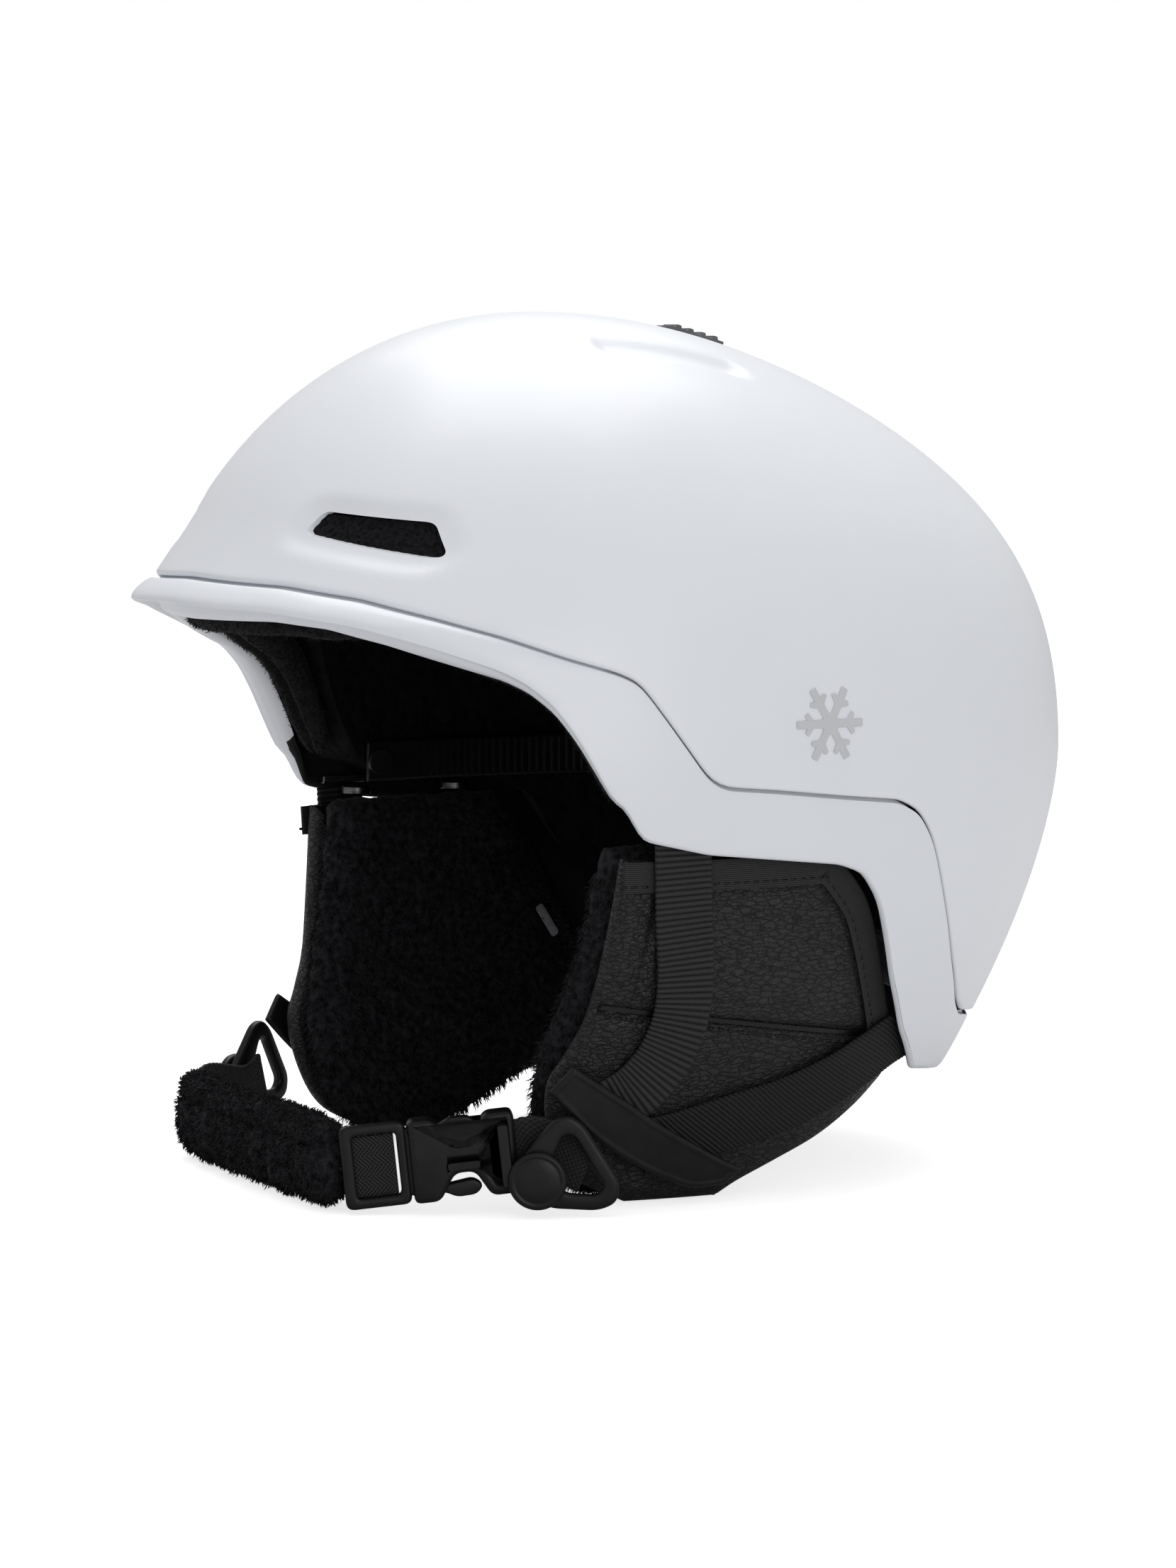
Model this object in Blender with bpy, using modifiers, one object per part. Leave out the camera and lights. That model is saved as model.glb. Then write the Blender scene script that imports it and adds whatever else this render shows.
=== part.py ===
"""Ski helmet: two-piece hard shell, foam liner, dial fit system, soft ear pads and a buckled chin strap.

Frame: +Z up, -Y to the wearer's front, +X to the wearer's left, origin on the floor under the middle
of the helmet's box.  Lengths below are millimetres measured from the dome's own axis (the vertical
line through the crown), and place() turns them into metres in the helmet's frame.
"""
import math

import bmesh
import bpy
import numpy as np
from mathutils import Matrix, Vector

MM = 0.001
MIDDLE_Y = 25.9            # middle of the helmet's box, behind the dome's axis
GAP = 0.35                 # air kept between neighbouring pieces
CROWN_GAP = 3.0            # the crown pad hangs on hook pads this thick

# Dome: half-axes of the outer and of the inner surface, from the dome's axis
WIDEST_Z = 118.0           # height where the dome is widest
OUTER = {"top": 244.0, "front": 116.3, "rear": 163.5, "side": 108.0, "flare": 4.0, "tuck": 0.0287}
INNER = {"top": 214.0, "front": 90.0, "rear": 131.0, "side": 85.0, "flare": 0.0, "tuck": 0.012}
CENTRE_SHIFT = 20.0        # the widest section's centre lies this far behind the dome's axis
PLAN_POWER = 2.1           # roundness of the plan section

SHELL_WALL = 2.2
SEAM_GAP = 1.0
BROW_SEAM_STEP = 1.2       # extra room over the brow, where the upper shell's inner edge hangs lower
LOWER_INSET = 0.6          # the lower shell lies this far inside the upper one
LOWER_WALL = 2.4
FOAM_INSET = 4.2
BRIM_REACH = 2.4
RIM_DEPTH = 14.0           # how far the brow rim returns inwards
RIM_DROP = 2.2             # and how far it hangs below the edge of the brim

# Edges as (degrees from the front, height)
SEAM = [(0, 171.5), (19, 170.2), (30, 167.2), (40, 162.2), (48, 157.6), (57, 151.3), (64, 147.2), (67, 144.5),
        (77, 118.0), (79.5, 115.6), (88, 114.1), (100, 111.5), (110, 109.5), (114, 106.0), (117, 98.6),
        (121, 80.6), (125.5, 63.4), (131, 49.8), (135, 45.2), (150, 41.6), (180, 41.6)]
EDGE = [(0, 161.5), (16, 162.0), (24, 160.4), (32, 156.3), (39, 151.7), (48, 145.8), (51.5, 142.3), (55, 136.6),
        (58, 128.7), (61.5, 117.0), (63, 112.0), (64.5, 111.2), (67, 102.0), (77, 97.6), (88, 95.4),
        (99.5, 93.0), (104, 90.2), (107.5, 82.0), (112, 59.3), (116.5, 44.5), (123.5, 31.3), (150, 25.5),
        (180, 25.0)]
FOAM_EDGE = [(0, 173.0), (16, 173.0), (24, 171.5), (32, 168.0), (39, 163.0), (48, 157.0), (55, 149.0),
             (58, 140.0), (62, 126.0), (67, 111.0), (77, 106.0), (88, 104.0), (99.5, 102.5), (104, 100.5),
             (108, 97.5), (112, 86.0), (118, 71.0), (130, 64.0), (150, 68.0), (180, 72.0)]

# Ear pads: edges as (height, y)
PAD_FRONT = [(0, -14), (8, -30), (20, -37), (34, -39), (43, -35), (54, -30.5), (73, -27), (96.5, -24)]
PAD_REAR = [(0, 13), (4, 20), (9, 32), (14, 45), (20, 56.5), (26, 65), (32, 70), (45, 66.5), (60, 61), (72, 56.5),
            (82, 52), (90, 45.5), (96.5, 39)]
PLUSH_FRONT = [(1, -20), (10, -32), (25, -36.5), (35, -37.5), (46, -35.5), (60, -31.5), (73, -28), (96.5, -24)]
PLUSH_REAR = [(1, 7), (8, 24), (16, 38), (24, 48), (31, 53), (45, 54), (60, 51), (82, 45), (96.5, 36)]
PAD_INSET = 5.6            # outer face of the ear pad, inside the dome
PAD_WALL = 9.0
PLUSH_WALL = 13.0
PLUSH_GAP = 1.0
EAR_HINGE = (100.0, 10.0, 97.0)

# Webbing
WEB_WIDTH = 16.5
WEB_WALL = 1.5
FRONT_WEB = [(-9.7, 101.0), (-9.5, 95.0), (-8.5, 80.0), (-6.9, 64.0), (-7.4, 52.0), (-11.0, 41.5),
             (-17.0, 33.5), (-24.0, 28.5)]
REAR_WEB = [(74.5, 43.5), (65.0, 40.6), (54.0, 35.6), (43.0, 30.8), (27.0, 25.6), (12.0, 22.4), (-3.5, 18.6)]
YOKE_LINES = [((-36, 41.5), (-41.5, 34.5)), ((-28, 36), (-34.5, 27)), ((-20, 30.5), (-27.5, 20.5)),
              ((-10.5, 24), (-18, 14)), ((-1, 18.5), (-8.5, 9)), ((8, 13.5), (0.5, 5.6)), ((15.5, 10), (10, 5.8))]
YOKE_LIFT = 2.7
YOKE_WALL = 2.6

# Strap ring with its thumb disc, drawn in its own plane (along the strap, height)
RING_OUTLINE = [(-15, 13), (-13, 6), (-4, 2), (9, 1.4), (14, 3.5), (15, 9), (5, 25), (1, 27.6), (-3, 26.5)]
RING_WINDOW = [(-5, 12), (0, 6.2), (8.5, 5.6), (10.6, 8.2), (2.4, 21.8), (-0.6, 22)]
RING_CENTRE = (88.4, -39.3)
RING_RIGHT_CENTRE = (-86.6, -45.2)
RING_RIGHT_LIFT = 6.0
RING_WALL = 3.2
DISC_CENTRE = (-7.5, 10.0)
DISC_RADIUS = 8.0
DISC_WALL = 3.0

# Buckle: lies on edge, drawn in its own frame (along, up, out)
BUCKLE_START = (54.7, -90.7, 12.0)
BUCKLE_TURN = math.radians(63.9)      # heading of the buckle's length, from +X towards +Y
BUCKLE_TILT = math.radians(6.0)       # rise of the buckle's length towards the ring
MOUTH = 19.4               # start of the socket along the buckle
SOCKET_END = 39.8
FEMALE_END = 48.4
BUCKLE_HALF = 11.4
SOCKET_WALL = 8.6
CAVITY_WALL = 4.6
CAVITY_HALF = 9.9
GUIDE_HALF = 1.6

# Chin pad
CHIN_PATH = [(-59, -79.2, 13.0), (-50, -81.0, 13.0), (-30, -83.8, 13.0), (-5, -86.2, 13.0), (28, -88.2, 13.0),
             (52.6, -90.6, 12.6)]
CHIN_SIZE = (14.5, 25.2)
CHIN_END_SHARE = 0.86      # size of the pad's ends against its middle

# Vents on the crown and the brow
BROW_VENT = [(35, 184.2), (37.5, 189.3), (64, 186.7), (70, 178.4), (66.5, 178.4)]
CROWN_SLOT = (3.8, 31.0, 68.0)        # width, front end, rear end
KNOB_Y = 52.5
KNOB_LENGTH = 19.0
KNOB_WIDTH = 8.0
KNOB_BASE = 1.0            # underside of the knob above the ridge
SHUTTER_DEPTH = 5.0        # middle of the shutter below the ridge
RIBS = 4

# Fleece roll round the face opening
BROW_HALF_ANGLE = 64.0
BROW_WIDTH = 13.0
BROW_TALL = 11.6
BROW_DROP = 1.2            # middle of the roll below the edge of the shell

# Fit system
CRADLE_RADIUS = 91.0
CRADLE_HALF_ANGLE = 35.0
DIAL_CENTRE = (0.0, 123.6, 57.0)
DIAL_RADIUS = 13.0
BAND_PATH = [(56.5, 95.0), (70.5, 75.0), (78.6, 48.0), (81.0, 15.0), (78.8, -12.0)]
BAND_Z = 110.0

# Goggle-strap clip at the back
CLIP_TOP = 116.0
CLIP_LENGTH = 36.0
CLIP_WIDTH = 22.0
CLIP_GAP = 3.6
CLIP_WALL = 2.2

SHELL_ANGLES = [0, 8, 16, 24, 32, 40, 48, 52, 57, 61.5, 64, 67, 72, 77, 79.5, 88, 99.5, 104, 107.5, 110, 112,
                114, 117, 121, 125.5, 131, 135, 150, 165, 180]
FOAM_ANGLES = [0, 16, 32, 48, 55, 58, 62, 67, 77, 88, 99.5, 104, 108, 112, 118, 130, 150, 165, 180]

PARTS = None
CUTTERS = None


# ------------------------------------------------------------------ scene helpers
def clear_scene():
    for obj in list(bpy.data.objects):
        bpy.data.objects.remove(obj, do_unlink=True)


def new_collection(name):
    collection = bpy.data.collections.new(name)
    bpy.context.scene.collection.children.link(collection)
    return collection


def material(name, colour, roughness, metallic=0.0):
    mat = bpy.data.materials.new(name)
    mat.use_nodes = True
    shader = mat.node_tree.nodes["Principled BSDF"]
    shader.inputs["Base Color"].default_value = (*colour, 1.0)
    shader.inputs["Roughness"].default_value = roughness
    shader.inputs["Metallic"].default_value = metallic
    return mat


def place(point):
    x, y, z = point
    return Vector((x, y - MIDDLE_Y, z)) * MM


def add_part(name, bm, look, pivot=(0.0, 0.0, 0.0), cutter=False):
    """Turn a bmesh in dome millimetres into an object whose origin is the pivot."""
    bmesh.ops.recalc_face_normals(bm, faces=bm.faces)
    mesh = bpy.data.meshes.new(name)
    bm.to_mesh(mesh)
    bm.free()
    mesh.transform(Matrix.Scale(MM, 4) @ Matrix.Translation(-Vector(pivot)))
    mesh.shade_smooth()
    mesh.set_sharp_from_angle(angle=math.radians(35))
    obj = bpy.data.objects.new(name, mesh)
    obj.location = place(pivot)
    (CUTTERS if cutter else PARTS).objects.link(obj)
    if cutter:
        obj.hide_render = True
        obj.display_type = "WIRE"
    else:
        mesh.materials.append(look(name))
    return obj


def bevel(obj, width, segments=1):
    mod = obj.modifiers.new("Rounded edges", "BEVEL")
    mod.width = width * MM
    mod.segments = segments
    mod.limit_method = "ANGLE"
    mod.angle_limit = math.radians(40)


def boolean(obj, tool, operation="DIFFERENCE"):
    mod = obj.modifiers.new(tool.name, "BOOLEAN")
    mod.operation = operation
    mod.object = tool


# ------------------------------------------------------------------ looks
def look_maker(colour, roughness, metallic=0.0):
    return lambda name: material(name, colour, roughness, metallic)


WHITE_MATTE = look_maker((0.80, 0.82, 0.84), 0.55)
WHITE_GLOSS = look_maker((0.82, 0.83, 0.85), 0.32)
BLACK_FOAM = look_maker((0.02, 0.02, 0.022), 0.9)
BLACK_FLEECE = look_maker((0.015, 0.015, 0.016), 1.0)
BLACK_LEATHER = look_maker((0.02, 0.02, 0.022), 0.5)
BLACK_PLASTIC = look_maker((0.025, 0.026, 0.03), 0.42)
BLACK_WEBBING = look_maker((0.02, 0.02, 0.022), 0.75)
GREY_PLASTIC = look_maker((0.10, 0.10, 0.11), 0.5)
STEEL = look_maker((0.45, 0.45, 0.46), 0.35, 1.0)


# ------------------------------------------------------------------ dome geometry
def smooth_step(value):
    value = np.clip(value, 0.0, 1.0)
    return value * value * (3.0 - 2.0 * value)


def half_axes(size, z, inset):
    """Front, rear and side reach and the centre of the plan section at height z."""
    top = size["top"] - inset
    rise = np.clip((z - WIDEST_Z) / (top - WIDEST_Z), 0.0, 1.0)
    drop = np.clip(WIDEST_Z - z, 0.0, None)
    round_off = np.sqrt(1.0 - rise ** 2)
    rear_swell = 1.0 + 0.18 * rise ** 2 - 0.55 * rise ** 4 + 0.25 * rise ** 6
    side_off = np.clip(1.0 - rise ** 2.15, 0.0, 1.0) ** (1.0 / 2.15)
    front = (size["front"] - inset) * round_off - 0.0012 * drop ** 2
    rear = (size["rear"] - inset) * round_off * rear_swell - size["tuck"] * drop ** 1.62
    side = (size["side"] - inset) * side_off - 0.0012 * drop ** 2
    return front, rear, side, CENTRE_SHIFT * round_off


def dome(size, degrees, z, inset=0.0):
    """Point of the dome at an angle from the front (towards the wearer's left) and a height."""
    degrees, z = np.broadcast_arrays(np.asarray(degrees, float), np.asarray(z, float))
    sin, cos = np.sin(np.radians(degrees)), -np.cos(np.radians(degrees))
    front, rear, side, centre = half_axes(size, z, inset)
    front = front + size["flare"] * (np.clip(190.0 - z, 0.0, 30.0) / 21.0) ** 2 * np.clip(-cos, 0.0, 1.0)
    along = np.where(cos < 0.0, front + centre, rear - centre)
    reach = (np.abs(sin) / np.maximum(side, 1e-6)) ** PLAN_POWER
    reach = reach + (np.abs(cos) / np.maximum(along, 1e-6)) ** PLAN_POWER
    radius = reach ** (-1.0 / PLAN_POWER)
    return np.stack([sin * radius, cos * radius + centre, z], axis=-1)


def dome_x(y, z, inset=0.0):
    """Half-width of the outer dome at a given y and height."""
    front, rear, side, centre = half_axes(OUTER, z, 0.0)
    along = front + centre if y < centre else rear - centre
    return side * (1.0 - min(abs(y - centre) / along, 0.999) ** PLAN_POWER) ** (1.0 / PLAN_POWER) - inset


def height_at(table, degrees):
    angles, heights = zip(*table)
    turned = np.abs((np.asarray(degrees, float) + 180.0) % 360.0 - 180.0)
    return np.interp(turned, angles, heights)


def full_turn(half):
    return np.array(half + [-angle for angle in reversed(half[1:-1])], float)


def outward(degrees, distance):
    """Horizontal step away from the dome's axis at an angle from the front."""
    turn = np.radians(degrees)
    distance = np.broadcast_to(distance, turn.shape)
    return np.stack([np.sin(turn) * distance, -np.cos(turn) * distance, np.zeros_like(turn)], axis=-1)


# ------------------------------------------------------------------ mesh helpers
def loft(rows, ring=True, around=False, caps=True, first_pole=None, last_pole=None):
    """Skin rows of points. ring closes each row, around joins the last row to the first."""
    bm = bmesh.new()
    grid = [[bm.verts.new(Vector(point)) for point in row] for row in rows]
    following = grid[1:] + grid[:1] if around else grid[1:]
    for lower, upper in zip(grid, following):
        for i in range(len(lower) if ring else len(lower) - 1):
            j = (i + 1) % len(lower)
            bm.faces.new((lower[i], lower[j], upper[j], upper[i]))
    for pole, row in ((first_pole, grid[0]), (last_pole, grid[-1])):
        if pole is not None:
            tip = bm.verts.new(Vector(pole))
            for i in range(len(row)):
                bm.faces.new((row[i], row[(i + 1) % len(row)], tip))
        elif caps and not around:
            bm.faces.new(row)
    return bm


def box(centre, size, matrix=None):
    bm = bmesh.new()
    local = Matrix.Translation(Vector(centre)) @ Matrix.Diagonal((*size, 1.0))
    bmesh.ops.create_cube(bm, size=1.0, matrix=(matrix or Matrix()) @ local)
    return bm


def cylinder(centre, axis, radius, depth, segments=24, top_radius=None):
    bm = bmesh.new()
    turn = Vector((0, 0, 1)).rotation_difference(Vector(axis)).to_matrix().to_4x4()
    bmesh.ops.create_cone(bm, cap_ends=True, segments=segments, radius1=radius,
                          radius2=radius if top_radius is None else top_radius, depth=depth,
                          matrix=Matrix.Translation(Vector(centre)) @ turn)
    return bm


def prism(outline, low, high, to_point):
    """Extrude a flat outline between two depths; to_point maps (u, v, depth) to a point."""
    return loft([[to_point(u, v, depth) for u, v in outline] for depth in (low, high)])


def ribbon(points, normals, width, wall):
    """Flat strap along points, its broad face along the normals."""
    points = [Vector(p) for p in points]
    rows = []
    for i, point in enumerate(points):
        tangent = (points[min(i + 1, len(points) - 1)] - points[max(i - 1, 0)]).normalized()
        across = Vector(normals[i]).cross(tangent).normalized() * (width / 2.0)
        lift = tangent.cross(across).normalized() * (wall / 2.0)
        rows.append([point + across + lift, point - across + lift, point - across - lift, point + across - lift])
    return loft(rows)


def plate(stations, to_point, low, high):
    """Thin plate on a curved surface; each station is the line (u, v) to (u, v) across it."""
    rows = []
    for start, end in stations:
        line = [np.array(start) * (1.0 - t) + np.array(end) * t for t in (0.0, 0.5, 1.0)]
        rows.append([to_point(u, v, high) for u, v in line] + [to_point(u, v, low) for u, v in line[::-1]])
    return loft(rows)


def stations_between(first, last, count):
    """Evenly spaced lines between a plate's two end lines."""
    first, last = np.array(first, float), np.array(last, float)
    return [first * (1.0 - t) + last * t for t in np.linspace(0.0, 1.0, count)]


def mirrored(bm):
    bmesh.ops.scale(bm, vec=(-1.0, 1.0, 1.0), verts=bm.verts)
    return bm


def for_both_sides(name, make, look, pivot=(0.0, 0.0, 0.0)):
    """The left piece and its mirror image on the right, each its own object."""
    left = add_part(name + "_left", make(), look, pivot)
    right = add_part(name + "_right", mirrored(make()), look, (-pivot[0], pivot[1], pivot[2]))
    return left, right


# ------------------------------------------------------------------ shells and foam
def meridian(size, angles, low, rows, inset=0.0):
    """Rows of dome points from near the crown down to the edge heights."""
    top = size["top"] - inset
    result = []
    for phase in np.linspace(math.pi / 2.0, 0.0, rows + 1)[1:]:
        result.append(dome(size, angles, low + (top - low) * math.sin(phase), inset))
    return result


def brow_vent_cutter(side, low, high, outline, name):
    bm = prism(outline, low, high, lambda x, z, y: (side * x, y, z))
    return add_part(name, bm, None, cutter=True)


def make_upper_shell():
    angles = full_turn(SHELL_ANGLES)
    rows = meridian(OUTER, angles, height_at(SEAM, angles) + SEAM_GAP / 2.0, 9)
    bm = loft(rows, caps=False, first_pole=(0.0, 0.0, OUTER["top"]), last_pole=None)
    shell = add_part("shell_upper", bm, WHITE_MATTE)
    wall = shell.modifiers.new("Wall", "SOLIDIFY")
    wall.thickness = SHELL_WALL * MM
    wall.offset = -1.0
    for side, word in ((1, "left"), (-1, "right")):
        boolean(shell, brow_vent_cutter(side, -115.0, -50.0, BROW_VENT, "cut_brow_vent_" + word))
    width, front, rear = CROWN_SLOT
    slot = box((0.0, (front + rear) / 2.0, 238.0), (width, rear - front, 30.0))
    boolean(shell, add_part("cut_crown_slot", slot, None, cutter=True))
    return shell


def brim_share(angles):
    """1 over the brow, fading to 0 at the temples."""
    turned = np.abs((angles + 180.0) % 360.0 - 180.0)
    return 1.0 - smooth_step((turned - 22.0) / 42.0)


def rim_share(angles):
    """1 over the brow, a half at the temples and 0 in front of the ear pads."""
    turned = np.abs((angles + 180.0) % 360.0 - 180.0)
    return 1.0 - 0.5 * smooth_step((turned - 22.0) / 38.0) - 0.5 * smooth_step((turned - 60.0) / 10.0)


def make_lower_shell():
    angles = full_turn(SHELL_ANGLES)
    share, rim = brim_share(angles), rim_share(angles)
    seam = height_at(SEAM, angles) - SEAM_GAP / 2.0 - BROW_SEAM_STEP * share
    edge = height_at(EDGE, angles)
    tall = seam - edge
    inner = LOWER_INSET + LOWER_WALL

    def mix(plain, brow):
        return plain * (1.0 - share) + brow * share

    def reach(plain, brow):
        return plain * (1.0 - rim) + brow * rim

    section = [
        (mix(-LOWER_INSET, -LOWER_INSET), seam),
        (mix(-0.4, 0.4 * BRIM_REACH), seam - mix(0.12 * tall, 1.6)),
        (mix(-0.3, BRIM_REACH), seam - mix(0.40 * tall, 5.0)),
        (mix(-0.3, BRIM_REACH - 1.0), seam - mix(0.72 * tall, 7.2)),
        (mix(-0.5, -2.5), edge + mix(2.2, 2.6)),
        (reach(-1.4, -8.0), edge - RIM_DROP * share),
        (reach(-inner, -RIM_DEPTH), edge + mix(0.1, -RIM_DROP)),
        (reach(-inner, -RIM_DEPTH - 2.0), edge + mix(3.0, 3.0 - RIM_DROP)),
        (mix(-inner, -RIM_DEPTH + 2.0), edge + mix(0.25 * tall, 5.0)),
        (mix(-inner, -RIM_DEPTH + 7.0), edge + mix(0.55 * tall, 7.4)),
        (mix(-inner, -inner), seam),
    ]
    rows = [dome(OUTER, angles, z) + outward(angles, step) for step, z in section]
    return add_part("shell_lower", loft(rows, around=True), WHITE_GLOSS)


def make_foam():
    angles = full_turn(FOAM_ANGLES)
    edge = height_at(FOAM_EDGE, angles)
    outer = meridian(OUTER, angles, edge, 7, FOAM_INSET)
    inner = meridian(INNER, angles, edge, 6)
    bm = loft(outer + inner[::-1], first_pole=(0, 0, OUTER["top"] - FOAM_INSET), last_pole=(0, 0, INNER["top"]))
    foam = add_part("eps_liner", bm, BLACK_FOAM)
    pocket = box((0.0, 45.0, 233.5), (20.0, 60.0, 18.0))
    boolean(foam, add_part("cut_shutter_pocket", pocket, None, cutter=True))
    channel = [(42.0, 180.6), (42.0, 186.6), (62.0, 184.2), (62.0, 178.2)]
    for side, word in ((1, "left"), (-1, "right")):
        boolean(foam, brow_vent_cutter(side, -120.0, -30.0, channel, "cut_air_channel_" + word))
        seat = vent_panel(side, ((32.5, 175.5), (32.5, 192.5)), ((73.0, 189.5), (73.0, 173.0)), 1.0, 5.2)
        boolean(foam, add_part("cut_mesh_seat_" + word, seat, None, cutter=True))
    return foam


def vent_panel(side, first, last, low, high):
    """Thin panel that follows the dome behind a brow vent, between two depths inside it."""
    def on_dome(x, z, depth):
        return Vector((side * x, brow_y(x, z), z)) - brow_normal(side, x, z) * depth

    return plate(stations_between(first, last[::-1], 6), on_dome, low, high)


def brow_y(x, z):
    """y of the outer dome's front at a given half-width and height."""
    front, _, side, centre = half_axes(OUTER, z, 0.0)
    return centre - (front + centre) * (1.0 - (x / side) ** PLAN_POWER) ** (1.0 / PLAN_POWER)


def brow_normal(side, x, z):
    across = (brow_y(x + 1.0, z) - brow_y(x - 1.0, z)) / 2.0
    rise = (brow_y(x, z + 1.0) - brow_y(x, z - 1.0)) / 2.0
    return Vector((side * across, -1.0, rise)).normalized()


def make_vent_meshes():
    for side, word in ((1, "left"), (-1, "right")):
        panel = vent_panel(side, ((33.5, 178.0), (33.5, 191.0)), ((71.0, 188.0), (71.0, 175.5)), 2.9, 4.1)
        add_part("vent_mesh_" + word, panel, BLACK_FLEECE)


# ------------------------------------------------------------------ crown vent slider
def ridge_z(y):
    """Height of the dome's centre line behind the crown."""
    low, high = WIDEST_Z, OUTER["top"]
    for _ in range(50):
        middle = (low + high) / 2.0
        if half_axes(OUTER, middle, 0.0)[1] > y:
            low = middle
        else:
            high = middle
    return low


def slider_frame():
    """Frame on the ridge: X across, Y along the slide, Z out of the shell."""
    travel_y = KNOB_Y - 7.5
    slope = ridge_z(travel_y + 8.0) - ridge_z(travel_y - 8.0)
    along = Vector((0.0, 16.0, slope)).normalized()
    across = Vector((1.0, 0.0, 0.0))
    turn = Matrix((across, along, across.cross(along))).transposed().to_4x4()
    return Matrix.Translation((0.0, KNOB_Y, ridge_z(KNOB_Y))) @ turn


def make_vent_slider():
    frame = slider_frame()
    pivot = frame.translation
    base, step = KNOB_BASE, KNOB_LENGTH / (2 * RIBS + 1)
    outline = [(-KNOB_LENGTH / 2, base), (KNOB_LENGTH / 2, base), (KNOB_LENGTH / 2, base + 1.1)]
    for i in range(RIBS):
        start = KNOB_LENGTH / 2 - step * (2 * i + 1)
        outline += [(start, base + 1.1), (start - 0.25, base + 2.0), (start - step + 0.25, base + 2.0),
                    (start - step, base + 1.1)]
    outline.append((-KNOB_LENGTH / 2, base + 1.1))
    bm = prism(outline, -KNOB_WIDTH / 2, KNOB_WIDTH / 2, lambda u, v, w: frame @ Vector((w, u, v)))
    knob = add_part("vent_knob", bm, GREY_PLASTIC, pivot)
    stem = add_part("join_stem", box((0, 0, -1.2), (3.0, 8.0, 5.2), frame), None, cutter=True)
    boolean(knob, stem, "UNION")
    shutter = box((0.0, 0.0, -SHUTTER_DEPTH), (16.0, 26.0, 1.2), frame)
    add_part("vent_shutter", shutter, BLACK_PLASTIC, pivot)


# ------------------------------------------------------------------ comfort liner
def make_comfort_brow():
    """Fleece roll along the inside of the face opening."""
    rows = []
    for degrees in np.linspace(-BROW_HALF_ANGLE, BROW_HALF_ANGLE, 27):
        angle = np.array([degrees])
        share = rim_share(angle)[0]
        edge = height_at(EDGE, angle)[0]
        start = -(LOWER_INSET + LOWER_WALL + 0.6) * (1.0 - share) - (RIM_DEPTH + 3.0) * share
        ring = []
        for turn in np.linspace(0.0, 2.0 * math.pi, 10, endpoint=False):
            step = start - BROW_WIDTH / 2.0 * (1.0 - math.cos(turn))
            z = edge - BROW_DROP + BROW_TALL / 2.0 * math.sin(turn)
            ring.append((dome(OUTER, angle, z) + outward(angle, step))[0])
        rows.append(ring)
    return add_part("comfort_brow", loft(rows), BLACK_FLEECE)


def make_comfort_crown():
    angles = np.arange(0.0, 360.0, 20.0)
    low = np.full(angles.shape, 176.0)
    rows = meridian(INNER, angles, low, 5, CROWN_GAP)
    bm = loft(rows, caps=False, first_pole=(0.0, 0.0, INNER["top"] - CROWN_GAP))
    crown = add_part("comfort_crown", bm, BLACK_FLEECE)
    wall = crown.modifiers.new("Wall", "SOLIDIFY")
    wall.thickness = 5.0 * MM
    wall.offset = -1.0


# ------------------------------------------------------------------ fit system
def arc_plate(radius, wall, half_angle, low, high, steps):
    """Upright plate bent round the back of the head."""
    rows = []
    for degrees in np.linspace(-half_angle, half_angle, steps):
        turn = math.radians(degrees)
        section = [(radius, low), (radius + wall, low), (radius + wall, high), (radius, high)]
        rows.append([(r * math.sin(turn), CENTRE_SHIFT + r * math.cos(turn), z) for r, z in section])
    return loft(rows)


def make_fit_system():
    pivot = (0.0, CENTRE_SHIFT + CRADLE_RADIUS, 80.0)
    cradle = arc_plate(CRADLE_RADIUS, 2.5, CRADLE_HALF_ANGLE, 46.0, 116.0, 13)
    cradle = add_part("fit_cradle", cradle, BLACK_PLASTIC, pivot)
    for side, word in ((1, "left"), (-1, "right")):
        window = box((side * 33.0, 105.0, 72.0), (20.0, 40.0, 24.0))
        boolean(cradle, add_part("cut_cradle_window_" + word, window, None, cutter=True))
    pad = arc_plate(CRADLE_RADIUS - GAP - 3.6, 3.6, CRADLE_HALF_ANGLE - 3.0, 50.0, 112.0, 13)
    add_part("fit_pad", pad, BLACK_FLEECE, pivot)
    housing = add_part("fit_housing", box((0.0, 117.0, 60.0), (40.0, 4.6, 24.0)), BLACK_PLASTIC, pivot)
    bevel(housing, 1.2)
    dial = add_part("fit_dial", cylinder(DIAL_CENTRE, (0, 1, 0), DIAL_RADIUS, 7.0, 24), GREY_PLASTIC, DIAL_CENTRE)
    bevel(dial, 0.9)
    for side, word in ((1, "left"), (-1, "right")):
        points = smooth_path([(side * x, y, BAND_Z) for x, y in BAND_PATH], 14)
        normals = [level_normal(points, i, side) for i in range(len(points))]
        add_part("fit_band_" + word, ribbon(points, normals, 12.0, 1.2), BLACK_PLASTIC)
        peg = cylinder((side * 77.0, -8.5, BAND_Z), (1, 0, 0), 4.0, 1.8, 16)
        add_part("fit_peg_" + word, peg, GREY_PLASTIC)


def level_normal(points, i, side):
    tangent = points[min(i + 1, len(points) - 1)] - points[max(i - 1, 0)]
    return Vector((-tangent.y, tangent.x, 0.0)).normalized() * side


def smooth_path(points, count):
    """Even points of a Catmull-Rom curve through the given ones."""
    points = [Vector(p) for p in points]
    ends = [2 * points[0] - points[1]] + points + [2 * points[-1] - points[-2]]
    result = []
    for place_ in np.linspace(0.0, len(points) - 1.0, count):
        i = min(int(place_), len(points) - 2)
        t = place_ - i
        a, b, c, d = ends[i:i + 4]
        result.append(0.5 * (2 * b + (c - a) * t + (2 * a - 5 * b + 4 * c - d) * t ** 2
                             + (3 * b - a - 3 * c + d) * t ** 3))
    return result


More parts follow.
